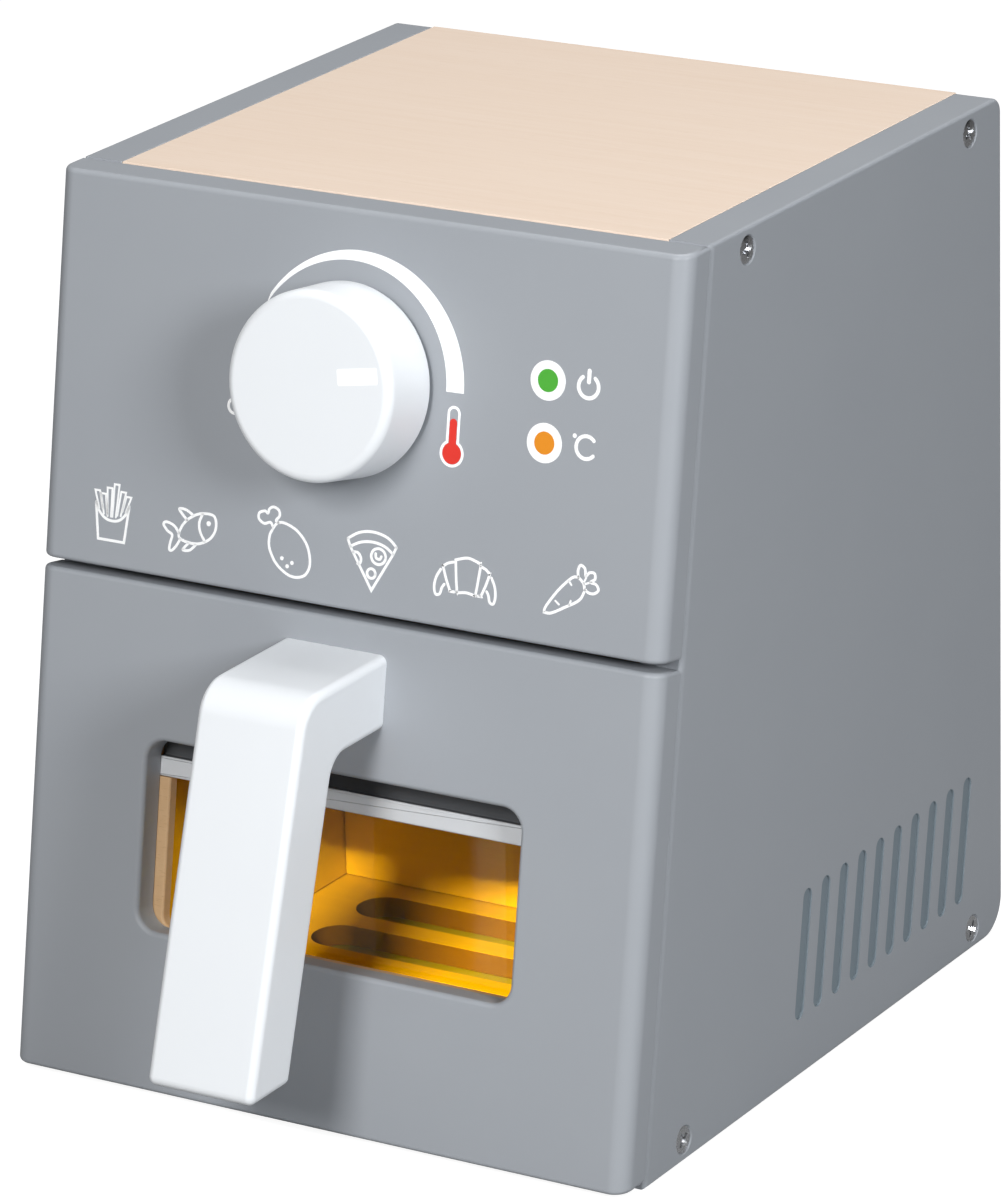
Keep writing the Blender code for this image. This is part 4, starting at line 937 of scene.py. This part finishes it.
def film(bm, outline, low=INK_FOOT, high=INK):
    """Adds a thin solid with this outline, lying on the plane z = 0."""
    return stack(bm, [[along_z(a, b, level) for a, b in outline] for level in (low, high)])


def ribbon_sides(points, closed, half):
    """Lists the points at half a line's width to the left and to the right of a path."""
    count = len(points)
    sides = ([], [])
    for i in range(count):
        before = Vector(points[i - 1]) if closed or i else None
        spot = Vector(points[i])
        after = Vector(points[(i + 1) % count]) if closed or i < count - 1 else None
        a = (spot - before).normalized() if before else (after - spot).normalized()
        b = (after - spot).normalized() if after else a
        normal = Vector((-(a + b).y, (a + b).x)).normalized()
        reach = min(half / max(0.3, normal.dot(Vector((-b.y, b.x)))), half * 2)
        for side, sign in zip(sides, (1, -1)):
            side.append(tuple(spot + normal * reach * sign))
    return sides


print("a film of ink is", INK, "mm thick and a line", LINE, "mm wide")


# %% Lines of ink
def bridge(bm, one, other, closed=False):
    """Adds the faces between two rows of points."""
    for i in range(len(one) if closed else len(one) - 1):
        j = (i + 1) % len(one)
        bm.faces.new((one[i], one[j], other[j], other[i]))


def line(bm, points, closed=False, width=LINE):
    """Adds a ribbon of ink along a path, with round ends if the path is open."""
    half = width / 2
    rows = [[bm.verts.new((*spot, level)) for spot in side] for side in ribbon_sides(points, closed, half)
            for level in (INK_FOOT, INK)]
    loops = [rows[0], rows[1], rows[3], rows[2]]
    for one, other in zip(loops, loops[1:] + loops[:1]):
        bridge(bm, one, other, closed)
    if closed:
        return bm
    for at_end, other, k in ((points[-1], points[-2], -1), (points[0], points[1], 0)):
        way = math.atan2(at_end[1] - other[1], at_end[0] - other[0])
        cap = arc(at_end, half, way + TURN / 4, way - TURN / 4, 6)[1:-1]
        first, last = (0, 2) if k else (2, 0)
        ends = []
        for up, level in ((0, INK_FOOT), (1, INK)):
            between = [bm.verts.new((*spot, level)) for spot in cap]
            ends.append([rows[first + up][k]] + between + [rows[last + up][k]])
            bm.faces.new(ends[up])
        bridge(bm, *ends)
    return bm


def curve(bm, points, closed=False):
    """Adds a smooth line of ink through points."""
    return line(bm, smooth(points, closed))


def circle(x, y, radius, steps=40):
    return arc((x, y), radius, 0, TURN, steps)[:-1]


PRINT = FRONT @ Matrix.Rotation(TURN / 4, 4, "X")


def sign(name, bm, ink, x=0, v=0):
    """Places a film of ink on the upper panel, v millimetres up its slope."""
    return dress(to_object(name, bm), "case", ink, (), PRINT @ at(x, v, 0), 20)


print("signs lie on the panel at", PRINT.translation)

# %% Heat scale, off mark and thermometer
# Each edge of the heat scale is an arc: its centre, its radius and the angle where it starts.
OUTER_EDGE = ((0.12, 184.2), 29.8, math.radians(146))
INNER_EDGE = ((-2.17, 184.1), 27.3, math.radians(149))
OFF_MARK, OFF_LINE = (-32.8, 172.7, 1.8), 0.7
BULB_PLACE = (27.65, 169.85)
# The radius of a bulb, half the width of its stem and how high the stem goes.
GLASS, GLASS_LINE = (2.95, 1.45, 10.9), 0.65
FILLING, FILLING_HIGH = (2.55, 1.0, 8.2), 0.03


def heat_scale():
    """Outlines the heat scale: it starts at a point and widens as it goes round."""
    return arc(*OUTER_EDGE, 0, 72) + arc(*INNER_EDGE, 0, 72)[::-1]


def thermometer(radius, stem, top):
    """Outlines a bulb with a round-ended stem."""
    open_angle = math.asin(stem / radius)
    bulb = arc((0, 0), radius, TURN / 4 + open_angle, TURN * 5 / 4 - open_angle, 28)
    return bulb + arc((0, top - stem), stem, 0, TURN / 2, 10)


sign("print_heat_scale", film(bmesh.new(), heat_scale()), white_ink)
sign("print_off_mark", line(bmesh.new(), circle(*OFF_MARK, 32), True, OFF_LINE), white_ink)
glass = line(bmesh.new(), thermometer(*GLASS), True, GLASS_LINE)
sign("print_thermometer_edge", glass, white_ink, *BULB_PLACE)
filling = film(bmesh.new(), thermometer(*FILLING), high=FILLING_HIGH)
sign("print_thermometer_fill", filling, red_ink, *BULB_PLACE)
print("points in the heat scale:", len(heat_scale()), "and in the thermometer:", len(thermometer(*GLASS)))

# %% Lamps, power sign and degree sign
LAMP_RING, LAMP, LETTER = 4.7, 2.7, 2.65
LAMPS = {"power": (green_ink, 52.2, 190.4), "heat": (orange_ink, 52.3, 175.8)}
POWER_GAP, POWER_LINE, POWER_PLACE = 38, 0.95, (63.0, 190.4)
STROKE_LOW, STROKE_HIGH, STROKE_LINE = 1.1, 3.7, 1.05
DEGREE_GAP, DEGREE_LINE, DEGREE_PLACE, DEGREE_DOT = 42, 0.9, (63.4, 176.3), (-3.2, 2.35, 0.55)


def open_ring(way, gap, width):
    """Draws a ring that is open at a direction, with a gap to each side of it, in degrees."""
    return line(bmesh.new(), arc((0, 0), LETTER, math.radians(way + gap), math.radians(way + 360 - gap), 36),
                width=width)


for name, (ink, x, v) in LAMPS.items():
    sign(f"print_{name}_lamp_ring", film(bmesh.new(), circle(0, 0, LAMP_RING)), white_ink, x, v)
    sign(f"print_{name}_lamp", film(bmesh.new(), circle(0, 0, LAMP), INK / 2, 2 * INK), ink, x, v)
power = line(open_ring(90, POWER_GAP, POWER_LINE), [(0, STROKE_LOW), (0, STROKE_HIGH)], width=STROKE_LINE)
sign("print_power_sign", power, white_ink, *POWER_PLACE)
degree = film(open_ring(0, DEGREE_GAP, DEGREE_LINE), circle(*DEGREE_DOT, 20))
sign("print_degree_sign", degree, white_ink, *DEGREE_PLACE)
print("two lamps", 2 * LAMP_RING, "mm across, with their signs")

# %% [markdown]
# ## Food signs
# Six simple line drawings stand for what can be cooked: chips, a fish, a drumstick, a slice of pizza, a
# croissant and a carrot. Each is drawn with a few points, in millimetres from its own middle, and a smooth
# curve goes through them.

# %% Chips and fish
FOOD_PLACES = {"chips": (-65.9, 142.3), "fish": (-43.5, 141.3), "drumstick": (-16.6, 142.0),
               "pizza": (7.5, 141.4), "croissant": (34.0, 141.0), "carrot": (62.0, 142.6)}


def chips(bm):
    line(bm, [(-4.9, 1.9), (-3.8, -7.0), (3.7, -7.0), (4.7, 1.9)])
    curve(bm, [(-4.9, 1.9), (-4.0, 0.0), (-2.2, -1.7), (0, -2.2), (2.2, -1.7), (3.9, 0.0), (4.7, 1.9)])
    for foot, top, low, high in ((-3.4, -4.6, 0.4, 4.7), (-2.0, -2.9, -0.8, 4.1), (-0.9, -1.1, -1.2, 5.7),
                                 (0.5, 0.9, -1.2, 6.8), (1.9, 2.9, -0.7, 5.2), (3.3, 4.5, 0.4, 4.2)):
        line(bm, [(foot - 0.5, low), (top - 0.7, high), (top + 0.7, high), (foot + 0.5, low)], width=0.5)


def fish(bm):
    curve(bm, [(-3.0, -2.3), (-2.4, 0.4), (-0.2, 2.8), (3.0, 4.3), (6.6, 4.2), (7.3, 1.4), (6.0, -1.2),
               (3.2, -2.9), (0, -3.2)], True)
    curve(bm, [(-3.0, -1.4), (-4.6, 0.3), (-6.8, 0.9), (-7.6, 0.2), (-6.4, -1.2), (-5.0, -2.0), (-5.4, -3.8),
               (-5.6, -5.6), (-4.8, -5.7), (-3.6, -4.4), (-2.7, -2.8)])
    curve(bm, [(-1.0, 2.2), (-2.6, 3.6), (-3.3, 4.6), (-1.4, 4.6), (0.6, 3.6)])
    curve(bm, [(-0.2, -3.3), (-1.2, -4.4), (-1.7, -5.2), (0.2, -5.0), (1.8, -3.5)])
    curve(bm, [(3.3, 4.2), (2.5, 1.9), (3.0, -0.3), (4.3, -2.2)])
    film(bm, circle(5.2, 2.2, 0.62, 18))


def show(food, draw):
    """Prints one food sign on the panel."""
    bm = bmesh.new()
    draw(bm)
    made = sign("print_" + food, bm, white_ink, *FOOD_PLACES[food])
    print(made.name, [round(size / MM, 1) for size in made.dimensions[:2]], "mm")


show("chips", chips)
show("fish", fish)


# %% Drumstick and pizza
def drumstick(bm):
    curve(bm, [(-3.7, 2.7), (-4.4, 1.0), (-4.2, -1.9), (-1.9, -5.4), (2.1, -7.6), (5.8, -7.0), (7.3, -4.1),
               (6.3, 0.2), (3.3, 3.4), (-0.4, 4.8), (-2.5, 4.4)], True)
    curve(bm, [(-3.7, 3.6), (-4.4, 4.4), (-6.1, 3.9), (-7.6, 4.8), (-7.6, 6.2), (-6.1, 6.9), (-5.2, 6.5),
               (-4.8, 7.6), (-3.6, 8.2), (-2.2, 7.6), (-1.9, 6.3), (-2.8, 5.1), (-2.1, 4.6)])
    for x, y in ((-0.6, -3.7), (2.3, -4.4), (1.0, -5.4)):
        film(bm, circle(x, y, 0.5, 16))


def topping(bm, x, y, wide, high):
    """Adds a round topping."""
    angles = [TURN * k / 8 for k in range(8)]
    curve(bm, [(x + wide * math.cos(angle), y + high * math.sin(angle)) for angle in angles], True)


def pizza(bm):
    curve(bm, [(-6.7, 4.4), (-3.5, 6.3), (0.4, 6.9), (4.2, 6.1), (6.8, 4.2)])
    curve(bm, [(-5.9, 2.6), (-3.1, 4.0), (0.3, 4.5), (3.6, 3.9), (6.0, 2.4)])
    line(bm, [(-6.7, 4.4), (-5.9, 2.6), (0.6, -7.0), (6.0, 2.4), (6.8, 4.2)])
    curve(bm, [(-5.1, 1.4), (-3.7, 1.4), (-2.8, 0.3), (-2.9, -0.9), (-3.6, -1.2)])
    topping(bm, 2.0, 1.3, 2.0, 1.9)
    curve(bm, [(1.2, 1.9), (1.4, 0.9), (2.4, 0.7), (2.8, 1.4)])
    topping(bm, 0.3, -3.0, 1.15, 1.15)


show("drumstick", drumstick)
show("pizza", pizza)


# %% Croissant and carrot
def strokes(*parts):
    """Joins smooth strokes that meet in sharp corners."""
    return [spot for part in parts for spot in smooth(part)]


def croissant(bm):
    line(bm, strokes([(-3.4, 4.1), (0.0, 5.0), (3.5, 4.1)], [(3.5, 4.1), (3.0, 0.0), (2.5, -3.6)],
                     [(2.5, -3.6), (0.0, -3.2), (-2.5, -3.6)],
                     [(-2.5, -3.6), (-3.0, 0.0), (-3.4, 4.1)])[:-1], True)
    for way in (-1.0, 0.9):
        lobe = strokes([(4.0, 3.5), (5.5, 3.0), (6.7, 2.1)], [(6.7, 2.1), (5.7, -0.7), (4.4, -3.5)],
                       [(4.4, -3.5), (3.3, -3.5)])
        line(bm, [(way * x, y) for x, y in lobe])
        curve(bm, [(way * x, y) for x, y in ((7.3, 1.3), (8.4, -0.7), (8.8, -3.0), (8.3, -4.7), (7.2, -4.5),
                                             (6.7, -3.0), (6.1, -2.1))])


def carrot(bm):
    line(bm, strokes([(-6.8, -6.1), (-6.4, -4.6), (-3.4, -0.4), (0.0, 3.0), (1.7, 3.4)],
                     [(1.7, 3.4), (3.1, 2.2), (3.6, 0.6)],
                     [(3.6, 0.6), (2.3, -1.9), (-1.5, -4.2), (-4.9, -6.0), (-6.8, -6.1)])[:-1], True)
    curve(bm, [(1.7, 3.3), (1.5, 5.0), (2.1, 6.3), (3.3, 5.6), (3.6, 4.0), (4.6, 4.9), (5.9, 4.9), (6.1, 3.6),
               (5.0, 2.7), (6.5, 2.4), (7.2, 1.2), (6.1, 0.2), (4.6, 0.2), (3.7, 0.8)])
    for start, end in (((3.2, 2.3), (3.8, 3.7)), ((3.3, 2.0), (4.8, 2.6)), ((-4.0, -3.0), (-3.0, -3.7)),
                       ((-0.3, -3.5), (0.1, -2.4)), ((-0.8, 2.2), (0.0, 1.3))):
        line(bm, [start, end], width=0.5)


show("croissant", croissant)
show("carrot", carrot)

# %% Pointer on the dial
POINTER_REACH, POINTER_SIDE, POINTER_TURN = 13.4, 4.1, 9
POINTER_LENGTH, POINTER_WIDTH, POINTER_CORNER = 11, 4, 0.5
long, wide = POINTER_LENGTH / 2, POINTER_WIDTH / 2
bar = film(bmesh.new(), rounded_rectangle(-long, long, -wide, wide, POINTER_CORNER, 6))
pointer = to_object("print_dial_pointer", bar)
pointer_place = (DIAL @ at(POINTER_REACH, POINTER_SIDE, DIAL_REACH)
                 @ Matrix.Rotation(math.radians(POINTER_TURN), 4, "Z"))
dress(pointer, "dial", white_ink, (), pointer_place, 20)
print("the pointer is", POINTER_LENGTH, "mm long")

# %% [markdown]
# ## What stays hidden until it moves
# The dowels, the dial's axle and collar, the felt washer and the inner screws keep their CAD shapes, which
# are right as they are. They get the same finishes as their neighbours.

# %% Finishes for the CAD shapes that stay
FINISHES = {"beech": beech, "zinc_steel": zinc_steel, "grey_felt": grey_felt, "grey_lacquer": grey_lacquer,
            "plywood": plywood_level, "white_lacquer": white_lacquer}
changed = 0
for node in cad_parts.values():
    for holder in node.material_slots:
        finish = FINISHES.get(holder.material.name.split(".")[0]) if holder.material else None
        if finish:
            holder.material = finish
            changed += 1
print("CAD materials changed:", changed)

# %% [markdown]
# ## Floor and light
# The photograph has a pure white ground. The floor is a mid grey that takes the toy's shadow, and a camera
# ray sees it lifted to white where no shadow falls. The light is that of a studio, with three soft boxes.
# The one in front is high and throws the handle's soft shadow to the right. The one at the right models the
# edges and throws a second shadow to the left. The one behind and overhead brightens the level faces. A
# very faint dome fills in what they leave. A fourth, narrow lamp is there for the inside of the drawer. The
# sizes and places of the floor, the lamps and the card are in metres.

# %% Floor
FLOOR_SIZE, LIFT = 12, 0.91
WHITE = (1, 1, 1, 1)
bpy.ops.mesh.primitive_grid_add(x_subdivisions=2, y_subdivisions=2, size=FLOOR_SIZE)
floor = bpy.context.object
floor.name = "floor"
floor_paper, tree, shader, place = new_material("matt_paper", {
    "Base Color": colour("#8C8C8C"), "Roughness": 0.9, "Specular IOR Level": 0.1, "Emission Color": WHITE})
path = add(tree, "LightPath")
lift = add(tree, "Math", {"operation": "MULTIPLY", 1: LIFT}, {0: path.outputs["Is Camera Ray"]})
tree.links.new(lift.outputs[0], shader.inputs["Emission Strength"])
floor.data.materials.append(floor_paper)
print("floor of", floor.dimensions[0], "m")

# %% Light
DOME = 0.04
world = bpy.data.worlds.new("studio")
bpy.context.scene.world = world
world.use_nodes = True
sky = world.node_tree
path = add(sky, "LightPath")
strength = add(sky, "MapRange", {"To Min": DOME, "To Max": 1.0}, {"Value": path.outputs["Is Camera Ray"]})
sky.nodes["Background"].inputs["Color"].default_value = WHITE
sky.links.new(strength.outputs["Result"], sky.nodes["Background"].inputs["Strength"])
TOY_MIDDLE = Vector((0, 0, 0.11))


def soft_box(name, azimuth, elevation, distance, width, height, power):
    """Hangs a soft box round the toy and aims it at its middle. Angles are in degrees, lengths in metres."""
    a, e = math.radians(azimuth), math.radians(elevation)
    way = Vector((math.sin(a) * math.cos(e), -math.cos(a) * math.cos(e), math.sin(e)))
    light = bpy.data.lights.new(name, "AREA")
    light.shape, light.size, light.size_y, light.energy = "RECTANGLE", width, height, power
    lamp = bpy.data.objects.new(name, light)
    bpy.context.scene.collection.objects.link(lamp)
    lamp.location = TOY_MIDDLE + way * distance
    lamp.rotation_mode = "QUATERNION"
    lamp.rotation_quaternion = (-way).to_track_quat("-Z", "Y")
    return lamp


key_box = soft_box("key_box", azimuth=6.5, elevation=31, distance=1.5, width=0.38, height=0.60, power=14.3)
right_box = soft_box("right_box", azimuth=62, elevation=22, distance=1.4, width=0.38, height=0.40, power=11.8)
right_box.data.color = (0.96, 0.98, 1.0)
top_box = soft_box("top_box", azimuth=180, elevation=74, distance=1.3, width=1.0, height=0.6, power=10.0)
drawer_lamp = soft_box("drawer_lamp", azimuth=16.5, elevation=27.5, distance=1.5, width=0.30, height=0.04,
                       power=80.0)
print("dome", DOME, "with three soft boxes and a lamp for the drawer")

# %% [markdown]
# The narrow lamp lights only the inside of the drawer, through the window, and its light falls in crisp
# bands across the slots. The front and right boxes leave out the drawer's floor and back and the base
# board, since light as broad as theirs would fill the slots. A card that only the narrow lamp sees stops
# its light above the window, as a studio's black flag does, so the inside isn't overlit when the drawer
# stands open.

# %% What each lamp lights
CARD_SIZE, CARD_Y, CARD_FOOT = 0.4, -0.23, 0.18
bpy.ops.mesh.primitive_grid_add(x_subdivisions=2, y_subdivisions=2, size=CARD_SIZE,
                                location=(0, CARD_Y, CARD_FOOT + CARD_SIZE / 2), rotation=(TURN / 4, 0, 0))
card = bpy.context.object
card.name = "black_card"
card.data.materials.append(floor_paper)
card.visible_camera = card.visible_diffuse = card.visible_glossy = card.visible_transmission = False
lit_inside = bpy.data.collections.new("lit_inside")
left_out = bpy.data.collections.new("left_out")
no_card = bpy.data.collections.new("no_card")
for node in ("drawer_floor", "drawer_back", "base_board", "drawer_side_left", "drawer_side_right"):
    piece = bpy.data.objects[node + "_finish"]
    lit_inside.objects.link(piece)
    if "side" not in node:
        left_out.objects.link(piece)
no_card.objects.link(card)
for entry in (*left_out.collection_objects, *no_card.collection_objects):
    entry.light_linking.link_state = "EXCLUDE"
drawer_lamp.light_linking.receiver_collection = lit_inside
for lamp in (key_box, right_box):
    lamp.light_linking.receiver_collection = left_out
for lamp in (key_box, right_box, top_box):
    lamp.light_linking.blocker_collection = no_card

# %% [markdown]
# ## Colour view
# The render shows its colours through the Standard view transform.

# %% Colour view
bpy.context.scene.view_settings.view_transform = "Standard"
